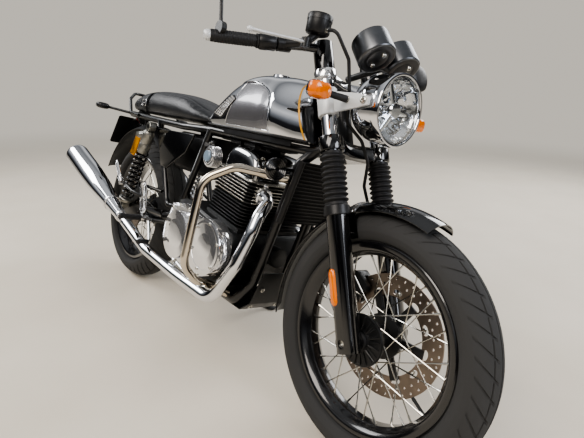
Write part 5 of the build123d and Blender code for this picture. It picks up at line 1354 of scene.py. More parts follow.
@dataclass
class RunningGear:
    """Frame, swingarm, stand, footrests, shocks, chain and brakes."""

    front_sprocket: Tuple[float, float] = (598.0, 398.0)
    chain_radii: Tuple[float, float] = (100.0, 42.0)
    chain_pitch: float = 15.875
    chain_line: float = 81.0

    def castings(self) -> None:
        """The CAD's tubes, arms and castings with rounded edges."""
        dressed_copy("frame", ["stove_enamel"], crease=40)
        dress(("swingarm", "stove_enamel", 1.4), ("side_stand", "stove_enamel", 1.4), ("rear_axle", "bolt_zinc", 1.0),
              ("rear_caliper", "satin_casting", 2.0), ("front_caliper", "satin_casting", 2.0),
              ("side_covers", "black_enamel", 2.6), ("grab_rail", "stove_enamel", 0.0),
              ("footrest_plates", "stove_enamel", 1.2))

    def shocks(self) -> None:
        """Both shocks with their springs and reservoirs."""
        bright, black, gold = Skin("shock_bodies"), Skin("shock_coils"), Skin("shock_reservoirs")
        for side in SIDES:
            Shock(side).make(bright, black, gold)
        bright.build(["shock_alloy"], Body.CHASSIS, "silver_paint", ["rear_shocks"])
        black.build(["black_enamel"], Body.CHASSIS, "spring_black", ["shock_springs"])
        gold.build(["gold_anodised"], Body.CHASSIS, "silver_paint")

    def heel_guards(self) -> None:
        """The rider's bright heel guards: a rounded plate with a beaded rim and three rows of slots.

        The outline is |u/31|^3.4 + |v/64|^3.4 = 1 in the plate's own plane.
        """
        plate, slots = Skin("heel_guard_plates"), Skin("heel_guard_slots")
        along, across = unit([-0.35, 0.0, 0.94]), unit([0.94, 0.0, 0.35])
        u, v = rounded_ring(72, 3.4)
        ring = (31 * u)[:, None] * across + (64 * v)[:, None] * along
        end = around(16)
        slot = 2.1 * np.cos(end)[:, None] * across + (2.1 * np.sin(end) + 4.5 * np.sign(np.sin(end)))[:, None] * along
        for side in SIDES:
            centre = np.array([317.0, side * 165.0, 426.0])
            rows = [(0.9, 0.0), (1.0, 0.4), (1.0, 3.2), (0.97, 3.9), (0.9, 3.6), (0.87, 2.8), (0.0, 2.8)]
            plate.grid(np.stack([centre + grow * ring + [0, side * high, 0] for grow, high in rows]))
            spots = np.array([centre + u * across + v * along + [0, side * 2.7, 0]
                              for u in (-15.0, 0.0, 15.0) for v in (-34.0, -12.0, 12.0, 34.0)])
            faces = spots[:, None, None, :] + slot + np.array([0.0, 0.3])[:, None, None] * side * LEFT
            slots.grid(faces, lids=True)
            plate.bolts(np.array([centre + 50 * along, centre - 50 * along]) + side * 3.0 * LEFT, side * LEFT, 4.5, 3.0)
        plate.build(["polished_alloy"], Body.CHASSIS, "polished_alloy", crease=40)
        slots.build(["moulded_black"], Body.CHASSIS, "black_plastic")

    def chain(self) -> None:
        """The chain: links laid along the loop round both sprockets.

        The loop is two straight runs and two arcs; link k stands at k pitches along it. A plate is an
        outline of two round ends and a waist; pins join the plates.
        """
        rear, front = REAR_AXLE[[0, 2]], np.array(self.front_sprocket)
        big, small = self.chain_radii
        reach = front - rear
        length, slope = float(np.hypot(*reach)), math.atan2(reach[1], reach[0])
        lift = math.acos((big - small) / length)
        arcs = [(rear, big, slope + lift, slope + 2 * np.pi - lift), (front, small, slope - lift, slope + lift)]
        runs = [centre + radius * np.stack([np.cos(a), np.sin(a)], -1)
                for centre, radius, a0, a1 in arcs for a in [np.linspace(a0, a1, 120)]]
        loop = np.concatenate([runs[0], runs[1], runs[0][:1]])
        step = np.concatenate([[0.0], np.cumsum(np.hypot(*np.diff(loop, axis=0).T))])
        links = int(step[-1] / self.chain_pitch / 2) * 2
        at = np.linspace(0, step[-1], links + 1)
        pins = np.stack([np.interp(at, step, loop[:, 0]), np.interp(at, step, loop[:, 1])], -1)
        start, end = pins[:-1], pins[1:]
        way = unit(end - start)
        over = np.stack([-way[:, 1], way[:, 0]], -1)
        u = np.array([-0.29, -0.2, 0.0, 0.2, 0.35, 0.5, 0.65, 0.8, 1.0, 1.2, 1.29])
        w = np.array([3.0, 5.0, 6.3, 5.6, 4.4, 4.0, 4.4, 5.6, 6.3, 5.0, 3.0])
        along = np.concatenate([u, u[::-1]])[:, None] * np.hypot(*(end - start)[0])
        high = np.concatenate([w, -w[::-1]])[:, None]
        skin = Skin("chain_links")
        for parity, (inner, outer) in enumerate(((4.2, 5.6), (5.7, 7.0))):
            flat = start[parity::2, None] + along * way[parity::2, None] + high * over[parity::2, None]
            for side in SIDES:
                faces = [np.stack([flat[..., 0], 0 * flat[..., 0] + self.chain_line + side * y, flat[..., 1]], -1)
                         for y in (inner, outer)]
                skin.grid(np.stack(faces, 1), lids=True)
        middle = np.stack([start[:, 0], np.full(len(start), self.chain_line), start[:, 1]], -1)
        skin.rods(middle - 6.9 * LEFT, middle + 6.9 * LEFT, 2.4, sides=6)
        skin.rods(middle - 4.1 * LEFT, middle + 4.1 * LEFT, 5.0, sides=8)
        skin.build(["chain_steel"], Body.CHASSIS, "chain_steel", ["drive_chain"])

    def foot_controls(self) -> None:
        """Pegs with ribbed rubber, levers with their pads, folded passenger pegs and their pins."""
        black, bright = Skin("peg_rubbers"), Skin("foot_levers")
        for side in SIDES:
            foot = np.array([352.0, side * 166.0, 350.0])
            height = np.linspace(16, 96, 65)
            ribs = 10.2 + 0.8 * (np.sin(height * 1.25) > -0.2)
            black.turn(np.concatenate([[(14, 0)], np.stack([height, ribs], -1), [(98.5, 9.0), (99, 0)]]), foot,
                       (0, side, 0.02), 32)
            bright.turn([(-1.7, 0), (-1.7, 10.8), (15, 10.8), (15, 0)], foot, (0, side, 0.02), 28)
            bright.rods(foot + [0, side * 90, -10], foot + [0, side * 91, -27], 3.0, 2.4, sides=10)
            line = bent(mirrored([(406, 170, 352), (444, 182, 330), (490, 196, 294), (490, 212, 292)], side), 8)
            bright.bar(line, 5.8, 16, UP)
            bright.rods((406, side * 162, 352), (406, side * 176, 352), 11.0, sides=24)
            black.turn([(0, 0), (0, 8.2), (2, 9), (40, 9), (42, 8), (42, 0)], (490, side * 200, 292), side * LEFT, 28)
            peg = np.array([146.0, side * 196.0, 453.0])
            tip = np.array([72.0, side * 200.0, 528.0])
            way = unit(tip - peg)
            bright.rods(peg, peg + way * 22, 9.0, 11.0, sides=24)
            thick = np.array([9.0] + 9 * [11.0] + [10.0, 7.0])
            bright.bar(np.linspace(peg + way * 20, tip, 12), thick, 24, LEFT, 0.62)
            bright.rods((152, side * 193.4, 449), (152, side * 206, 449), 9.0, sides=20)
        black.build(["moulded_rubber"], Body.CHASSIS, "black_rubber", ["foot_controls"])
        bright.build(["polished_alloy"], Body.CHASSIS, "polished_alloy")

    def make(self) -> None:
        """The whole running gear."""
        self.castings()
        self.heel_guards()
        self.shocks()
        self.chain()
        self.foot_controls()


# Engine


@dataclass
class Engine:
    """The twin engine's looks: dressed castings, fin edges, cover screws, cooler, horn and pipes."""

    tilt: float = math.radians(8.0)
    foot: Points = point(820.0, 0.0, 474.0)
    side_face: float = 148.3
    cover_depths: Tuple[Tuple[int, float], ...] = ((-1, 44.0), (1, 40.0))
    ring_at: Tuple[float, float] = (852.0, 385.0)
    dome_at: Tuple[float, float] = (660.0, 370.0)
    drum: Tuple[float, float, float] = (675.5, 0.0, 652.0)

    def at(self, ahead: Any, left: Any, up: Any) -> Points:
        """Points of the cylinders' leaned frame."""
        ahead, left, up = np.broadcast_arrays(ahead, left, up)
        c, s = math.cos(self.tilt), math.sin(self.tilt)
        return self.foot + np.stack([ahead * c + up * s, left * 1.0, -ahead * s + up * c], -1)

    def castings(self) -> None:
        """The CAD castings with rounded edges, and bare metal on the head's fin edges."""
        up = self.at(0, 0, 1) - self.foot

        def bare_edges(at: Points) -> Points:
            """Faces on the head's outer skirt get the bare finish."""
            local = at - self.foot
            ahead = local @ np.array([math.cos(self.tilt), 0, -math.sin(self.tilt)])
            return (np.abs(ahead) > 105.0) | (np.abs(local[:, 1]) > 127.0) | (local @ up > 153)

        dressed_copy("crankcase", ["satin_casting"], bevel=2.0)
        dressed_copy("engine_covers", ["polished_alloy"], bevel=5.0, crease=35)
        dressed_copy("cylinder_block", ["satin_casting"], bevel=0.5)
        dressed_copy("cylinder_head", ["satin_casting", "fin_edge"], bevel=0.6, pick=bare_edges)
        self.rocker_cover()
        dress(("throttle_bodies", "moulded_black", 2.0), ("oil_filter", "satin_casting", 2.0),
              ("bash_plate", "satin_casting", 0.8))

    def screws(self) -> None:
        """Cap screws round both side covers, on the rocker cover and through the bash plate."""
        skin = Skin("engine_screws")
        ring = np.array([(575, 380), (592, 452), (640, 470), (700, 470), (745, 458), (918, 436), (922, 390),
                         (894, 318), (820, 284), (740, 274), (664, 276), (604, 318)], float)
        disc = np.radians(np.arange(20, 380, 60.0))
        x, z = self.ring_at[0] + 76 * np.cos(disc), self.ring_at[1] + 76 * np.sin(disc)
        for side, depth in self.cover_depths:
            low = np.full(len(ring), side * (self.side_face + depth * 0.6))
            skin.bolts(np.stack([ring[:, 0], low, ring[:, 1]], -1), side * LEFT, 6.0, 5.0)
            skin.bolts(np.stack([x, np.full(6, side * (self.side_face + depth)), z], -1), side * LEFT, 5.5, 4.0)
        spots = self.at(np.array([-66.0, -66, 66, 66]), np.array([-84.0, 84, -84, 84]), 224.0)
        skin.bolts(spots, self.at(0, 0, 1) - self.foot, 6.0, 5.0)
        front = np.array([(1005, -52, 294), (1005, 52, 294), (963, -52, 224), (963, 52, 224)], float)
        skin.bolts(front, unit([1, 0, -0.35]), 7.5, 4.0)
        skin.build(["bolt_zinc"], Body.CHASSIS, "plain_steel")

    def cover_rings(self) -> None:
        """The side covers' stepped rings and, behind them, smooth domes, turned about their own axes.

        A dome's profile is along = -0.75 depth + (0.75 depth + 3) sin(a)^0.8, out = 84 cos(a)^0.55.
        """
        skin = Skin("cover_domes")
        swell = np.linspace(0, np.pi / 2, 16)
        for side, depth in self.cover_depths:
            steps = [(1 - depth, 82), (-6, 87), (-1.5, 85.5), (0.6, 81), (0.6, 72), (-3, 69), (-1, 48), (2.5, 24),
                     (3, 0)]
            dome = np.stack([(0.75 * depth + 3.0) * np.sin(swell) ** 0.8 - 0.75 * depth,
                             84 * np.cos(swell) ** 0.55], -1)
            for (x, z), profile in ((self.ring_at, steps), (self.dome_at, dome)):
                skin.turn(profile, (x, side * (self.side_face + depth), z), side * LEFT, 96)
        skin.build(["polished_alloy"], Body.CHASSIS, "polished_alloy")

    def cooler(self) -> None:
        """The oil cooler: a header tank at each side, with stacked tubes and thin upright fins between them."""
        top, low = np.array([1097.0, 0.0, 705.0]), np.array([1055.0, 0.0, 522.0])
        up = unit(top - low)
        out = np.array([up[2], 0.0, -up[0]])
        length = float(np.linalg.norm(top - low))
        skin = Skin("oil_cooler_core")
        for side in SIDES:
            line = np.linspace(low + LEFT * side * 89, top + LEFT * side * 89, 5)
            skin.bar(line, 11.0, 24, LEFT, 0.82)
            skin.rods((1063.6, side * 62, 640), (1078, side * 62, 640), 7.0)
        rows = np.linspace(7, length - 7, 17)
        outline = np.array([(-7.5, -1.3), (-7.5, 1.3), (7.5, 1.3), (7.5, -1.3)])
        bars = low + rows[:, None, None] * up + outline[:, :1] * out + outline[:, 1:] * up
        skin.grid(np.stack([bars - LEFT * 82, bars + LEFT * 82], 1), lids=True)
        fins = np.linspace(-80, 80, 54)
        thin = np.array([(-6.5, 0), (6.5, 0), (6.5, length), (-6.5, length)], float)
        face = low + fins[:, None, None] * LEFT + thin[:, :1] * out + thin[:, 1:] * up
        skin.grid(np.stack([face, face + LEFT * 0.9], 1), lids=True)
        skin.build(["moulded_black"], Body.CHASSIS, "black_cast", ["oil_cooler"])

    def horn(self) -> None:
        """The horn: a pressed shell with ringed steps on its face, on a steel strap."""
        centre, way = np.array([1046.0, -145.0, 668.0]), unit(np.array([22.0, -2.0, 4.0]))
        radius = np.linspace(30, 6, 49)
        rings = 21.0 + 1.3 * np.cos(radius * 2 * np.pi / 6.0)
        profile = np.concatenate([[(0, 0), (0, 22), (3, 28), (8, 31.6), (15, 32), (20, 31.5)],
                                  np.stack([rings, radius], -1), [(22, 5), (22.5, 0)]])
        skin = Skin("horn_shell").turn(profile, centre, way, 64)
        skin.rods((1054, -77.4, 675), (1054, -132, 672), 5.0)
        skin.build(["black_enamel"], Body.CHASSIS, "black_plastic", ["horn"], crease=60)

    def rocker_cover(self) -> None:
        """The barrel-shaped rocker cover and its foot flange.

        A superellipsoid's upper half: ahead = 90 cos(a)^0.22 cos(b)^0.62, left = 116 sin(a)^0.22 and
        up = 82 cos(a)^0.22 sin(b)^0.72 over the head, with each power keeping its sign.
        """
        a = np.linspace(-np.pi / 2, np.pi / 2, 61)[:, None]
        b = np.linspace(0, np.pi, 73)[None, :]
        ca, sa = np.cos(a).clip(0) ** 0.22, np.sign(np.sin(a)) * np.abs(np.sin(a)) ** 0.22
        cb, sb = np.sign(np.cos(b)) * np.abs(np.cos(b)) ** 0.62, np.sin(b).clip(0) ** 0.72
        skin = Skin("rocker_cover_dome").grid(self.at(90 * ca * cb, 116 * sa + 0 * b, 154.5 + 82 * ca * sb))
        u, v = rounded_ring(96, 7)
        rows = ((60, 90, 154.2), (92, 118, 154.2), (92, 118, 162.0), (90.5, 116.5, 163.5), (60, 90, 163.5))
        skin.grid(np.stack([self.at(wide * u, long * v, high) for wide, long, high in rows]))
        skin.build(["dark_mirror"], Body.CHASSIS, "polished_alloy", ["rocker_cover"], crease=40)

    def guard(self) -> None:
        """The engine guard: one bent chrome tube a side, and the clamps at their upper ends."""
        corners = [(1045.2, 80.1, 648), (965, 212, 652), (918, 279, 600), (906, 283, 345), (895, 225, 290),
                   (876, 166, 272), (871.5, 82.7, 233.5)]
        tubes, clamps = Skin("guard_tubes"), Skin("guard_clamps")
        for side in SIDES:
            line = bent(mirrored(corners, side), 66.0, 3.0)
            tubes.bar(line, 12.5, 36, (0.3, 0.2, 0.1))
            clamps.rods(mirrored((1043.0, 62, 648), side), mirrored((1043.0, 84, 648), side), 15.5, sides=32)
        # The guard tubes' beige tint is a painted reflection of the floor
        tubes.build(["floor_reflection_chrome"], Body.CHASSIS, "chrome", ["engine_guard"], crease=50)
        clamps.build(["black_enamel"], Body.CHASSIS, "gloss_black", crease=40)

    def throttle_drums(self) -> None:
        """The finned bright drum outboard of each throttle body, with its plug, lid and screws."""
        drums, plugs, screws = Skin("throttle_drums"), Skin("throttle_plugs"), Skin("throttle_screws")
        profile = [(89.4, 0), (89.4, 28)]
        for low in (92.5, 99.5, 106.5, 113.5, 120.5):
            profile += [(low, 30.0), (low + 0.5, 35.7), (low + 1.0, 36.5), (low + 2.4, 36.5), (low + 2.9, 35.7),
                        (low + 3.4, 30.0)]
        profile += [(128, 30), (130.4, 28.4), (131, 26), (131, 21.5), (129.6, 21), (129.6, 0)]
        plug = [(126, 0), (126, 18.5), (134, 18.5), (135.6, 17), (136, 13.5), (136, 0)]
        lid = [(-15, 0), (-15, 9), (-12, 12), (12, 12), (15, 9), (15, 0)]
        for side in SIDES:
            drums.turn(profile, self.drum, side * LEFT, 72)
            drums.plate(lid, (661, side * 121 - 12, 683), AHEAD, UP, -24.0)
            plugs.turn(plug, self.drum, side * LEFT, 48)
            screws.bolts((661.0, side * 121.0, 694.6), UP, 5.5, 4.0)
        drums.build(["polished_alloy"], Body.CHASSIS, "polished_alloy", ["throttle_covers"], crease=40)
        plugs.build(["blue_plug"], Body.CHASSIS, "polished_alloy", crease=40)
        screws.build(["bolt_zinc"], Body.CHASSIS, "plain_steel")

    def exhaust(self) -> None:
        """Header pipes, clamps, seam rings and the long tapered silencers.

        A pipe is a round bar along the bent line; a silencer is a profile of (along, radius) turned
        about its own axis, rolled over at the tail round a black outlet.
        """
        port = self.at(70.0, 78.0, 126.0)
        way = np.array([math.cos(math.radians(20)), 0, -math.sin(math.radians(20))])
        start, end = np.array([215.0, 203.0, 322.0]), np.array([-322.0, 244.0, 493.0])
        axis = unit(end - start)
        length = float(np.linalg.norm(end - start))
        corners = np.stack([port + way * 48.3, port + way * 72, (986, 112, 520), (989, 125, 474), (968, 145, 362),
                            (904, 165, 229), (700, 180, 238), (475, 195, 257), start - axis * 36, start])
        pipes, mufflers, dark = Skin("header_pipes"), Skin("silencers"), Skin("silencer_outlets")
        rings = Skin("exhaust_clamps")
        swell = np.array([(0.3, 22), (40, 25.5), (112, 33), (240, 47), (330, 51), (length - 12, 52.4)])
        along = np.linspace(0.4, length - 12, 60)
        wide = hermite(swell[:, 0], swell[:, 1:], along)[:, 0]
        tail = [(length - 4, 51.5), (length, 49), (length, 30), (length - 3, 27), (length - 40, 26)]
        silencer = np.concatenate([[(0.3, 20), (0.3, 22)], np.stack([along, wide], -1), tail])
        for side in SIDES:
            pipes.bar(bent(mirrored(corners, side), 60.0, 4.0), 20.0, 40, LEFT)
            at, go = mirrored(start, side), mirrored(axis, side)
            mufflers.turn(silencer, at, go, 96)
            dark.turn([(length - 40, 26), (length - 40, 0)], at, go)
            dark.turn([(length - 6, 24), (length - 39, 23.5)], at, go)
            rings.turn([(96, 31.5), (96, 33.6), (99, 35), (106, 35.6), (110, 34.4), (110, 32.4)], at, go, 72)
            rings.turn([(-14, 19.8), (-14, 23), (-12, 24), (2, 24.4), (6, 23.4), (6, 22)], at, go)
            flange = mirrored(port + way * 46, side)
            rings.turn([(-4, 20), (-4, 27), (0, 29), (5, 29), (8, 26), (8, 20)], flange, way)
            spots = flange + way * 6 + np.array([[0, 0, 33.0], [0, 0, -33.0]])
            rings.rods(spots - way * 10, spots, 6.0, sides=6)
        pipes.build(["chrome_plate"], Body.CHASSIS, "chrome", ["exhaust_pipes"])
        mufflers.build(["chrome_plate"], Body.CHASSIS, "chrome", ["mufflers"])
        dark.build(["satin_casting"], Body.CHASSIS, "black_cast")
        rings.build(["polished_alloy"], Body.CHASSIS, "chrome")

    def make(self) -> None:
        """The whole engine."""
        self.castings()
        self.cover_rings()
        self.screws()
        self.cooler()
        self.horn()
        self.throttle_drums()
        self.guard()
        self.exhaust()


# Tank and seat


def coordinates(mesh: bpy.types.Mesh) -> Points:
    """A mesh's points as an array."""
    flat = np.empty(3 * len(mesh.vertices))
    mesh.vertices.foreach_get("co", flat)
    return flat.reshape(-1, 3)


def baked(obj: bpy.types.Object) -> bpy.types.Mesh:
    """A new mesh of the object as its modifiers leave it; the modifiers are then taken off."""
    mesh = bpy.data.meshes.new_from_object(obj.evaluated_get(bpy.context.evaluated_depsgraph_get()))
    obj.modifiers.clear()
    return mesh


def loft_section(table: Points, bottom: float, x: Points, part: Points) -> Points:
    """Cross sections of a long body, each made of three arcs over a flat foot.

    Part 0 to 1 is the arc foot, side, shoulder on the left; 1 to 2 the arc over the top; 2 to 3 the
    right side's arc. The table's columns run along X by cubic interpolation.

    Args:
        table: rows of x, foot, side, side_z, shoulder, shoulder_z, top.
        bottom: height of the foot.
        x, part: arrays of one shape.
    Returns:
        Points of that shape: x, y, z.
    """
    order = np.argsort(table[:, 0])
    foot, side, side_z, shoulder, shoulder_z, top = np.moveaxis(
        hermite(table[order, 0], table[order, 1:], np.asarray(x, float)), -1, 0)
    low = np.stack([foot, np.full_like(foot, bottom)], -1)
    flank_at, edge = np.stack([side, side_z], -1), np.stack([shoulder, shoulder_z], -1)
    flip = np.array([-1.0, 1.0])
    crown = np.stack([0 * top, top], -1)
    first = arc_through(low, flank_at, edge, part)
    over = arc_through(edge, crown, edge * flip, part - 1)
    last = arc_through(edge * flip, flank_at * flip, low * flip, part - 2)
    yz = np.where((part < 1)[..., None], first, np.where((part < 2)[..., None], over, last))
    return np.concatenate([np.asarray(x, float)[..., None], yz], -1)


def softened(points: Points, passes: int) -> Points:
    """Rows of points eased across their columns: each point goes half way to its neighbours' mean."""
    for _ in range(passes):
        points[:, 1:-1, 1:] = 0.5 * points[:, 1:-1, 1:] + 0.25 * (points[:, :-2, 1:] + points[:, 2:, 1:])
    return points


@dataclass
class Tank:
    """The chrome tank with its creased flanks, gold line, grey panels, knee pads and filler cap."""

    bottom: float = 760.0
    recess: float = 7.0
    table: Points = field(default_factory=lambda: np.array([
        (556, 78, 82, 773, 60, 786, 797), (600, 90, 96, 792, 66, 834, 851), (660, 98, 106, 808, 72, 886, 906),
        (740, 104, 114, 820, 78, 920, 942), (820, 108, 119, 830, 82, 930, 952), (880, 112, 124, 830, 84, 926, 950),
        (960, 114, 130, 832, 84, 918, 944), (1040, 96, 104, 830, 72, 900, 926), (1110, 74, 80, 825, 56, 872, 890)],
        float))
    # Height and distance forward of the crease that bounds the recess
    crease: Points = field(default_factory=lambda: np.array([
        (755, 964), (800, 964), (828, 960), (845, 956), (868, 945), (882, 926), (896, 893), (907, 862), (917, 816)],
        float))

    def let_in(self, points: Points) -> Points:
        """Press the flanks in behind the crease, by a smooth step that fades out to the rear and the top."""
        x, y, z = np.moveaxis(points, -1, 0)
        edge = np.interp(z, self.crease[:, 0], self.crease[:, 1])
        depth = self.recess * smoothstep((edge - x) / 18.0) * smoothstep((919 - z) / 12.0) * smoothstep((x - 560) / 160)
        return np.stack([x, y - np.sign(y) * depth * smoothstep(np.abs(y) / 50.0), z], -1)

    def flank(self, x: Points, z: Points, side: int, proud: Any = 0.0) -> Points:
        """Points on a flank at x and z, standing proud of it; the arc's y is found by halving its share."""
        low, high = np.zeros_like(x), np.ones_like(x)
        for _ in range(24):
            middle = (low + high) / 2
            over = loft_section(self.table, self.bottom, x, middle)[..., 2] > z
            low, high = np.where(over, low, middle), np.where(over, middle, high)
        at = self.let_in(loft_section(self.table, self.bottom, x, low))
        out = np.broadcast_to(np.asarray(proud, float), x.shape)[..., None] * np.array([0.0, 1.0, 0.35])
        return mirrored(at + out, side)

    def shell(self) -> None:
        """The tank's shell: sections from the rear to the slanted front end, with the frame's tunnel below."""
        rows, rear, guess = 79, self.table[:, 0].min(), 500.0
        # The last stations stand close, round the gold stripe's two edges and the front end
        share = np.concatenate([np.linspace(0, 0.975, rows - 1), [0.9795, 0.991, 1.0]])[:, None]
        part = np.concatenate([np.linspace(0, 1, 34), np.linspace(1, 2, 46)[1:], np.linspace(2, 3, 34)[1:]])[None, :]
        nose = steer(-60, 0, 500)
        x = rear + share * guess + 0 * part
        for _ in range(6):
            skin = loft_section(self.table, self.bottom, x, part + 0 * x)
            x = rear + share * (nose[0] - (skin[..., 2] - nose[2]) * math.tan(RAKE) - rear)
        skin = self.let_in(softened(loft_section(self.table, self.bottom, x, part + 0 * x), 7))
        roof = np.clip(782 + (skin[:, :1, 0] - 620) * 0.2673, 782, None)
        below = np.array([(-46, 0), (-46, 1), (46, 1), (46, 0)], float)
        under = np.stack([skin[:, :1, 0] + 0 * below[None, :, 0], below[None, :, 0] + 0 * roof,
                          self.bottom + below[None, :, 1] * (roof - self.bottom - 3)], -1)
        lift = (under[..., 2] - self.bottom) * math.tan(RAKE)
        under[..., 0] -= lift * share
        whole = np.concatenate([skin, under], 1)
        cover = Skin("tank_shell").grid(whole[:rows])
        cover.grid(whole[rows - 1:rows + 1], slot=1).grid(whole[rows:])
        # One face closes each end
        end = np.arange(whole.shape[1])[None, :]
        cover.faces += [(end[:, ::-1], 0), (cover.count - whole.shape[1] + end, 0)]
        cover.build(["chrome_plate", "stripe_gold"], Body.CHASSIS, "chrome", ["fuel_tank"], crease=42)
        self.flange(skin)

    def flange(self, skin: Points) -> None:
        """The beads along the tank's foot, its four posts and the dark skirt under the right bead, partly the seam and
        wiring under the tank and partly painted shade.
        """
        lip = Skin("tank_flange")
        for side in SIDES:
            lip.bar(mirrored(skin[::2, 0] + [0, 1.5, 1.0], side), 3.6, 12, UP)
            for x, across, low in ((960, 70, 751.3), (640, 78.9, 754.9)):
                lip.rods((x, side * across, low), (x, side * across, 763), 11.0)
        # The skirt is a black sheet on the right side only: partly the dark seam and wiring, partly painted shade under
        # the tank
        x = np.linspace(624, 1034, 40)
        y = -np.interp(x, [624, 740, 960, 1034], [84, 94, 104, 88])
        section = np.array([(0, -1.5, 0), (0, 1.5, 0), (0, 1.0, -22), (0, -1.0, -22)], float)
        lip.grid(np.stack([x, y, 0 * x + 761.5], -1)[:, None, :] + section, lids=True)
        lip.build(["moulded_black"], Body.CHASSIS, "gloss_black")

    def panels(self) -> None:
        """The grey side panels and the bright line round each one's edge."""
        high = np.linspace(0, 1, 60)[:, None]
        z = 770 + 146 * high
        front = np.interp(z, self.crease[:, 0], self.crease[:, 1]) - 9.0 - 10 * smoothstep((z - 880) / 36)
        rear = 693.0 + (z - 769.0) * (758.0 - 693.0) / (918.0 - 769.0)
        x = rear + (front - rear) * np.linspace(0, 1, 60)[None, :]
        panel, line = Skin("tank_panels"), Skin("panel_edges")
        for side in SIDES:
            face, under = (self.flank(x, z + 0 * x, side, proud) for proud in (0.9, -0.6))
            panel.sheet(face, under, backed=False)
            line.grid(piped(border(face), 1.1, 8, LEFT), rows_close=True)
        panel.build(["panel_grey"], Body.CHASSIS, "grey_plastic", crease=50)
        line.build(["chrome_plate"], Body.CHASSIS, "chrome")

    def pads(self) -> None:
        """The slanted knee pads: a rubber frame and rows of small bright studs."""
        rubber, studs = Skin("knee_pads"), Skin("knee_pad_studs")
        corners = np.array([(592.0, 797.0), (673.0, 782.0), (704.0, 873.0), (748.0, 858.0)])

        def net(u: Points, v: Points) -> Points:
            """Points between the four corners: u from rear to front, v from foot to top."""
            weights = np.stack([(1 - u) * (1 - v), (1 + u) * (1 - v), (1 - u) * (1 + v), (1 + u) * (1 + v)], -1) / 4
            return weights @ corners

        u, v = np.linspace(-1, 1, 44)[None, :], np.linspace(-1, 1, 70)[:, None]
        # A square net drawn in at its corners to a rounded outline, whose rim falls away smoothly
        at = net(u * (1 - 0.30 * np.abs(v) ** 9), v * (1 - 0.10 * np.abs(u) ** 6))
        rise = smoothstep((1 - np.maximum(np.abs(u), np.abs(v))) / 0.14)
        edge = smoothstep((0.86 - np.maximum(np.abs(u), np.abs(v))) / 0.06)
        proud = -1.0 + 5.0 * rise - 1.6 * edge
        stud_v, stud_u = (m.ravel()[:, None] for m in np.meshgrid(np.linspace(-0.78, 0.78, 9),
                                                                  np.linspace(-0.6, 0.6, 4), indexing="ij"))
        corner = np.array([(-1, -1), (1, -1), (1, 1), (-1, 1)], float)
        for side in SIDES:
            rubber.grid(self.flank(at[..., 0], at[..., 1], side, proud), ring=False)
            spots = [net(stud_u + grow * 0.15 * corner[:, 0], stud_v + grow * 0.072 * corner[:, 1])
                     for grow in (1.0, 1.0, 0.7)]
            faces = [self.flank(spot[..., 0], spot[..., 1], side, high) for spot, high in zip(spots, (1.4, 3.2, 4.2))]
            studs.grid(np.stack(faces, 1), lids=True)
        rubber.build(["moulded_rubber"], Body.CHASSIS, "black_rubber", crease=60)
        studs.build(["polished_alloy"], Body.CHASSIS, "chrome")

    def cap(self) -> None:
        """The filler cap: a turned rim, a sunk ring and a key cover."""
        profile = [(-4, 34), (1, 34), (2.4, 32.5), (3.0, 30), (2.4, 27.5), (1.8, 26), (2.8, 24), (3.4, 16), (3.4, 0)]
        skin = Skin("filler_cap").turn(profile, (830, 0, 952.3), UP, 72)
        skin.build(["chrome_plate"], Body.CHASSIS, "chrome", ["fuel_cap"])

    def tray(self) -> None:
        """The dark tray with the ignition coils that hangs between the rails under the tank."""
        u, v = rounded_ring(48, 6)
        rows = ((610, 40, 8), (616, 52, 13), (900, 50, 14), (930, 44, 10))
        skin = Skin("coil_tray")
        skin.grid(np.stack([np.stack([0 * u + x, wide * u, 731 + high * v], -1) for x, wide, high in rows]), lids=True)
        for side in SIDES:
            skin.rods([(700, side * 54, 722), (780, side * 54, 722)], [(760, side * 54, 720), (840, side * 54, 720)],
                      13.0, sides=28)
        skin.build(["moulded_black"], Body.CHASSIS, "black_plastic", crease=40)

    def make(self) -> None:
        """The whole tank."""
        self.tray()
        self.shell()
        self.panels()
        self.pads()
        self.cap()


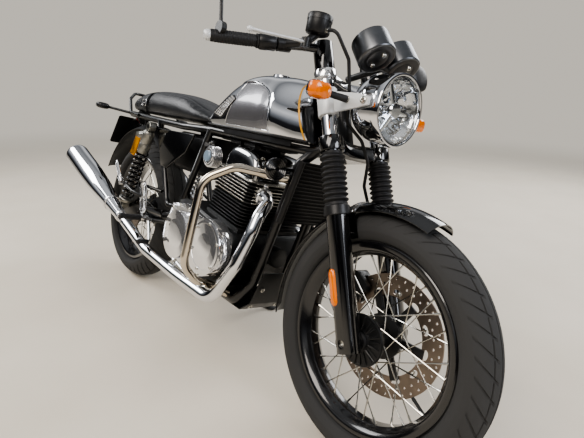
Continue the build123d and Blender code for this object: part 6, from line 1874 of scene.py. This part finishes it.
@dataclass
class Seat:
    """The long seat: a stuffed hide cover with a raised centre panel, piped seams and a strap."""

    bottom: float = 760.0
    strap_at: float = 78.0
    pressure: float = 4.0
    cloth_frames: int = 20
    longest_move: float = 0.0045
    table: Points = field(default_factory=lambda: np.array([
        (555, 78, 82, 773, 62, 784, 794), (480, 98, 107, 780, 86, 806, 822), (387, 108, 118, 788, 96, 832, 851),
        (210, 114, 126, 794, 104, 844, 867), (66, 112, 123, 794, 100, 842, 865), (-30, 102, 112, 790, 90, 830, 851),
        (-120, 84, 92, 784, 72, 804, 820), (-165, 50, 56, 775, 44, 788, 797)], float))

    def at(self, x: Any, part: Any) -> Points:
        """Points of the seat's outer space at x and part of the section."""
        x, part = np.broadcast_arrays(np.asarray(x, float), np.asarray(part, float))
        return loft_section(self.table, self.bottom, x, part)

    def inward(self, points: Points, high: float) -> Points:
        """Unit vectors from points straight across towards the line that runs along the seat at a height."""
        return unit(points * AHEAD + high * UP - points)

    def cover(self) -> bpy.types.Object:
        """The cover before stuffing: the seat's space drawn in by a few millimetres."""
        part = np.concatenate([np.linspace(0, 1, 14), np.linspace(1, 2, 26)[1:], np.linspace(2, 3, 14)[1:]])[None, :]
        skin = softened(self.at(np.linspace(552, -162, 90)[:, None], part), 1)
        skin = skin + self.inward(skin, 802.0) * 5.0
        skin[..., 2] = np.maximum(skin[..., 2], self.bottom + 1.0)
        return Skin("seat_cover").grid(skin, lids=True).build(
            ["seat_hide"], Body.CHASSIS, "seat_leather", ["seat"], crease=75)

    def stuffed(self, obj: bpy.types.Object) -> None:
        """Blow the cover up as cloth under inner pressure, then keep the move under a cap."""
        remesh = obj.modifiers.new("even_mesh", "REMESH")
        remesh.mode, remesh.voxel_size = "VOXEL", 0.006
        obj.data = baked(obj)
        before = coordinates(obj.data)
        cloth = obj.modifiers.new("stuffing", "CLOTH")
        cloth.settings.use_pressure = True
        cloth.settings.uniform_pressure_force = self.pressure
        cloth.settings.effector_weights.gravity = 0.0
        cloth.point_cache.frame_start, cloth.point_cache.frame_end = 1, self.cloth_frames
        for number in range(1, self.cloth_frames + 1):
            bpy.context.scene.frame_set(number)
        after = coordinates(baked(obj))
        bpy.context.scene.frame_set(1)
        move = after - before
        size = np.linalg.norm(move, axis=1, keepdims=True)
        move *= np.minimum(1.0, self.longest_move / np.maximum(size, 1e-9))
        obj.data.vertices.foreach_set("co", (before + move).ravel())

    def seams(self) -> Points:
        """The centre panel's left seam, as rows of x and part, from front to rear; the right one mirrors it."""
        x = np.linspace(500, -120, 80)
        return np.stack([x, 1.10 + 0.04 * smoothstep((x - 300) / 200)], -1)

    def sewn(self, obj: bpy.types.Object) -> None:
        """Sink the cover along the seams and the strap: depth * exp(-(distance / width)^2)."""
        subdivision = obj.modifiers.new("finer", "SUBSURF")
        subdivision.levels = subdivision.render_levels = 1
        obj.data = mesh = baked(obj)
        points = (coordinates(mesh) - SHIFT) @ TURN * 1000.0
        rows = self.seams()
        line = self.at(rows[:, 0], rows[:, 1])
        seam_y = np.interp(points[:, 0], rows[::-1, 0], line[::-1, 1])
        normals = np.empty(3 * len(mesh.vertices))
        mesh.vertices.foreach_get("normal", normals)
        normals = normals.reshape(-1, 3) @ TURN
        above = smoothstep((points[:, 2] - 800) / 15)
        sink = 2.6 * np.exp(-((np.abs(points[:, 1]) - seam_y) / 4.5) ** 2) * above
        sink += 2.4 * np.exp(-((points[:, 0] - self.strap_at) / 17.0) ** 4)
        points -= normals * sink[:, None]
        mesh.vertices.foreach_set("co", parked(points).ravel())
        mesh.shade_smooth()

    def trim(self) -> None:
        """Piping beside the two seams, the strap across the seat and its two buckles."""
        piping, strap, buckle = Skin("seat_piping"), Skin("seat_strap"), Skin("strap_buckle")
        rows = self.seams()
        for part in (rows[:, 1] - 0.03, 3.03 - rows[:, 1]):
            line = self.at(rows[:, 0], part)
            line = line + self.inward(line, 801.0) * 5.2
            piping.bar(line, 2.2, 10, UP)
        parts = np.linspace(0.02, 2.98, 90)
        band = np.linspace(-14, 14, 7)
        edge = np.array([0.0, 0.8, 1.0, 1.0, 1.0, 0.8, 0.0])
        top = self.at(self.strap_at + band[None, :], parts[:, None])
        inside = self.inward(top, 801.0)
        face, back = top - inside * (0.2 * edge)[None, :, None] + inside * 0.5, top + inside * 4.5
        strap.grid(np.concatenate([face, back[:, ::-1]], 1), lids=True)
        for side, spot in ((1, 0.42), (-1, 2.58)):
            centre = self.at(self.strap_at, spot)
            up = unit(self.at(self.strap_at, spot + 0.05) - self.at(self.strap_at, spot - 0.05)) * side
            out = np.cross(AHEAD, up)
            out = out * np.sign(out[1] * side)
            corners = [centre + out * 1.2 + AHEAD * a + up * b for a, b in
                       ((-19, -13), (19, -13), (19, 13), (-19, 13), (-19, -13), (19, -13))]
            buckle.grid(piped(bent(corners, 6.0, 1.5)[1:-1], 2.0, 12, out))
            buckle.rods(centre + out * 1.6 - up * 13, centre + out * 2.4 + up * 12, 1.6)
            buckle.rods(centre - 19 * AHEAD + out * 1.2, centre + 19 * AHEAD + out * 1.2, 1.8)
        piping.build(["strap_hide"], Body.CHASSIS, "seat_leather")
        strap.build(["strap_hide"], Body.CHASSIS, "seat_leather", crease=50)
        buckle.build(["polished_alloy"], Body.CHASSIS, "chrome")

    def make(self) -> None:
        """The whole seat."""
        cover = self.cover()
        self.stuffed(cover)
        self.sewn(cover)
        self.trim()


# Studio


@dataclass
class Studio:
    """Plain pale floor, soft lights and the photograph's camera."""

    eye: Points = point(1999.5, -928.0, 725.6)
    focal_px: float = 445.0
    photo_px: float = 584.0
    sensor: float = 36.0
    backdrop: str = "#D9D3C8"
    brightness: float = 0.8
    floor_half: float = 30.0
    fade_from: float = 3.0
    fade_to: float = 7.0
    yaw: float = math.radians(136.8)
    pitch: float = math.radians(8.37)
    roll: float = math.radians(12.41)

    def floor(self) -> None:
        """A pale concrete floor: soft clouds, fine grain, a dull wax."""
        mesh = bpy.data.meshes.new("studio_floor")
        far = self.floor_half
        mesh.from_pydata([(-far, -far, 0), (far, -far, 0), (far, far, 0), (-far, far, 0)], [], [(0, 1, 2, 3)])
        obj = bpy.data.objects.new("studio_floor", mesh)
        bpy.context.scene.collection.objects.link(obj)
        concrete = Finish("floor_concrete", "#D8D0C2", "#CBC2B3", roughness=0.8, haze=0.1, patch=420.0,
                          grain=Grain.CAST, grain_size=6.0, relief=0.15).material()
        self.fade(concrete.node_tree)
        mesh.materials.append(concrete)

    def fade(self, tree: bpy.types.NodeTree) -> None:
        """Pass the far floor into the backdrop's plain tone by a smooth step of the distance, for the camera only."""
        out = next(node for node in tree.nodes if node.type == "OUTPUT_MATERIAL")
        near = out.inputs["Surface"].links[0].from_socket
        place = add(tree, "ShaderNodeTexCoord", {}).outputs["Object"]
        away = add(tree, "ShaderNodeVectorMath", {0: place}, operation="LENGTH").outputs["Value"]
        ease = add(tree, "ShaderNodeMapRange", {"Value": away, "From Min": self.fade_from, "From Max": self.fade_to},
                   interpolation_type="SMOOTHSTEP").outputs[0]
        seen = add(tree, "ShaderNodeLightPath", {}).outputs["Is Camera Ray"]
        share = add(tree, "ShaderNodeMath", {0: ease, 1: seen}, operation="MULTIPLY").outputs[0]
        glow = add(tree, "ShaderNodeEmission", {"Color": linear(self.backdrop), "Strength": self.brightness}).outputs[0]
        tree.links.new(add(tree, "ShaderNodeMixShader", {0: share, 1: near, 2: glow}).outputs[0],
                       out.inputs["Surface"])

    def light(self, name: str, at: Sequence[float], to: Sequence[float], size: float, watts: float,
              colour: str = "#FFFFFF") -> None:
        """A square area light that points from one place to another, in metres."""
        lamp = bpy.data.lights.new(name, "AREA")
        lamp.shape, lamp.size, lamp.energy = "SQUARE", size, watts
        lamp.color = linear(colour)[:3]
        obj = bpy.data.objects.new(name, lamp)
        obj.location = at
        obj.rotation_euler = (Vector(to) - Vector(at)).to_track_quat("-Z", "Y").to_euler()
        bpy.context.scene.collection.objects.link(obj)

    def sky(self) -> None:
        """A room with bright windows overhead and dark walls, for the mirror finishes; plain to the camera."""
        world = bpy.data.worlds.new("studio_room")
        world.use_nodes = True
        tree = world.node_tree
        back = tree.nodes["Background"]
        place = add(tree, "ShaderNodeTexCoord", {}).outputs["Generated"]
        split = add(tree, "ShaderNodeSeparateXYZ", {0: place})
        ramp = add(tree, "ShaderNodeValToRGB", {0: add(tree, "ShaderNodeMapRange", {
            "Value": split.outputs["Z"], "From Min": -0.1, "From Max": 1.0}).outputs[0]})
        stops = [(0.0, "#6F685E"), (0.09, "#262628"), (0.22, "#2E2F32"), (0.36, "#8F9297"), (0.52, "#F4F5F6"),
                 (0.70, "#8B8D90"), (1.0, "#E6E8EA")]
        ramp.color_ramp.elements[0].color = linear(stops[0][1])
        ramp.color_ramp.elements[1].color = linear(stops[-1][1])
        for where, code in stops[1:-1]:
            ramp.color_ramp.elements.new(where).color = linear(code)
        seen = add(tree, "ShaderNodeLightPath", {}).outputs["Is Camera Ray"]
        colour = add(tree, "ShaderNodeMix", {0: seen, 6: ramp.outputs[0], 7: linear(self.backdrop)}, data_type="RGBA")
        tree.links.new(colour.outputs[2], back.inputs["Color"])
        back.inputs["Strength"].default_value = self.brightness
        bpy.context.scene.world = world

    def camera(self) -> None:
        """The photograph's camera, worked out from the machine's known sizes."""
        fw = np.array([math.cos(self.pitch) * math.cos(self.yaw), math.cos(self.pitch) * math.sin(self.yaw),
                       -math.sin(self.pitch)])
        right = np.array([math.sin(self.yaw), -math.cos(self.yaw), 0.0])
        up = np.cross(right, fw)
        across = math.cos(self.roll) * right + math.sin(self.roll) * up
        over = -math.sin(self.roll) * right + math.cos(self.roll) * up
        lens = bpy.data.cameras.new("photo_camera")
        lens.sensor_width, lens.lens = self.sensor, self.focal_px * self.sensor / self.photo_px
        lens.clip_end = 200.0
        obj = bpy.data.objects.new("photo_camera", lens)
        axes = np.stack([TURN @ across, TURN @ over, -TURN @ fw], 1)
        pose = Matrix.Identity(4)
        for row in range(3):
            pose[row][:3] = axes[row].tolist()
        pose.translation = Vector(parked(self.eye).tolist())
        obj.matrix_world = pose
        bpy.context.scene.collection.objects.link(obj)
        bpy.context.scene.camera = obj

    def make(self) -> None:
        """Floor, lights, sky and camera."""
        self.floor()
        self.sky()
        self.camera()
        self.light("key_softbox", (1.2, -3.2, 3.6), (0.1, -0.1, 0.5), 2.6, 150.0, "#FFF6EC")
        self.light("front_softbox", (4.2, 0.8, 2.4), (0.3, -0.1, 0.6), 1.8, 80.0, "#F2F6FF")
        self.light("back_softbox", (-2.8, -1.6, 2.8), (-0.2, -0.1, 0.5), 1.6, 70.0)
        self.light("left_softbox", (0.4, 3.6, 2.6), (0.0, 0.0, 0.5), 2.2, 90.0)
        view = bpy.context.scene.view_settings
        view.view_transform, view.look = "AgX", "AgX - Medium High Contrast"


def main() -> None:
    for part in (FrontWheel, RearWheel, Fork, Headlight, Cockpit, Signals, Mudguards, RunningGear, Engine, Tank, Seat,
                 Studio):
        part().make()


if __name__ == "__main__":
    main()
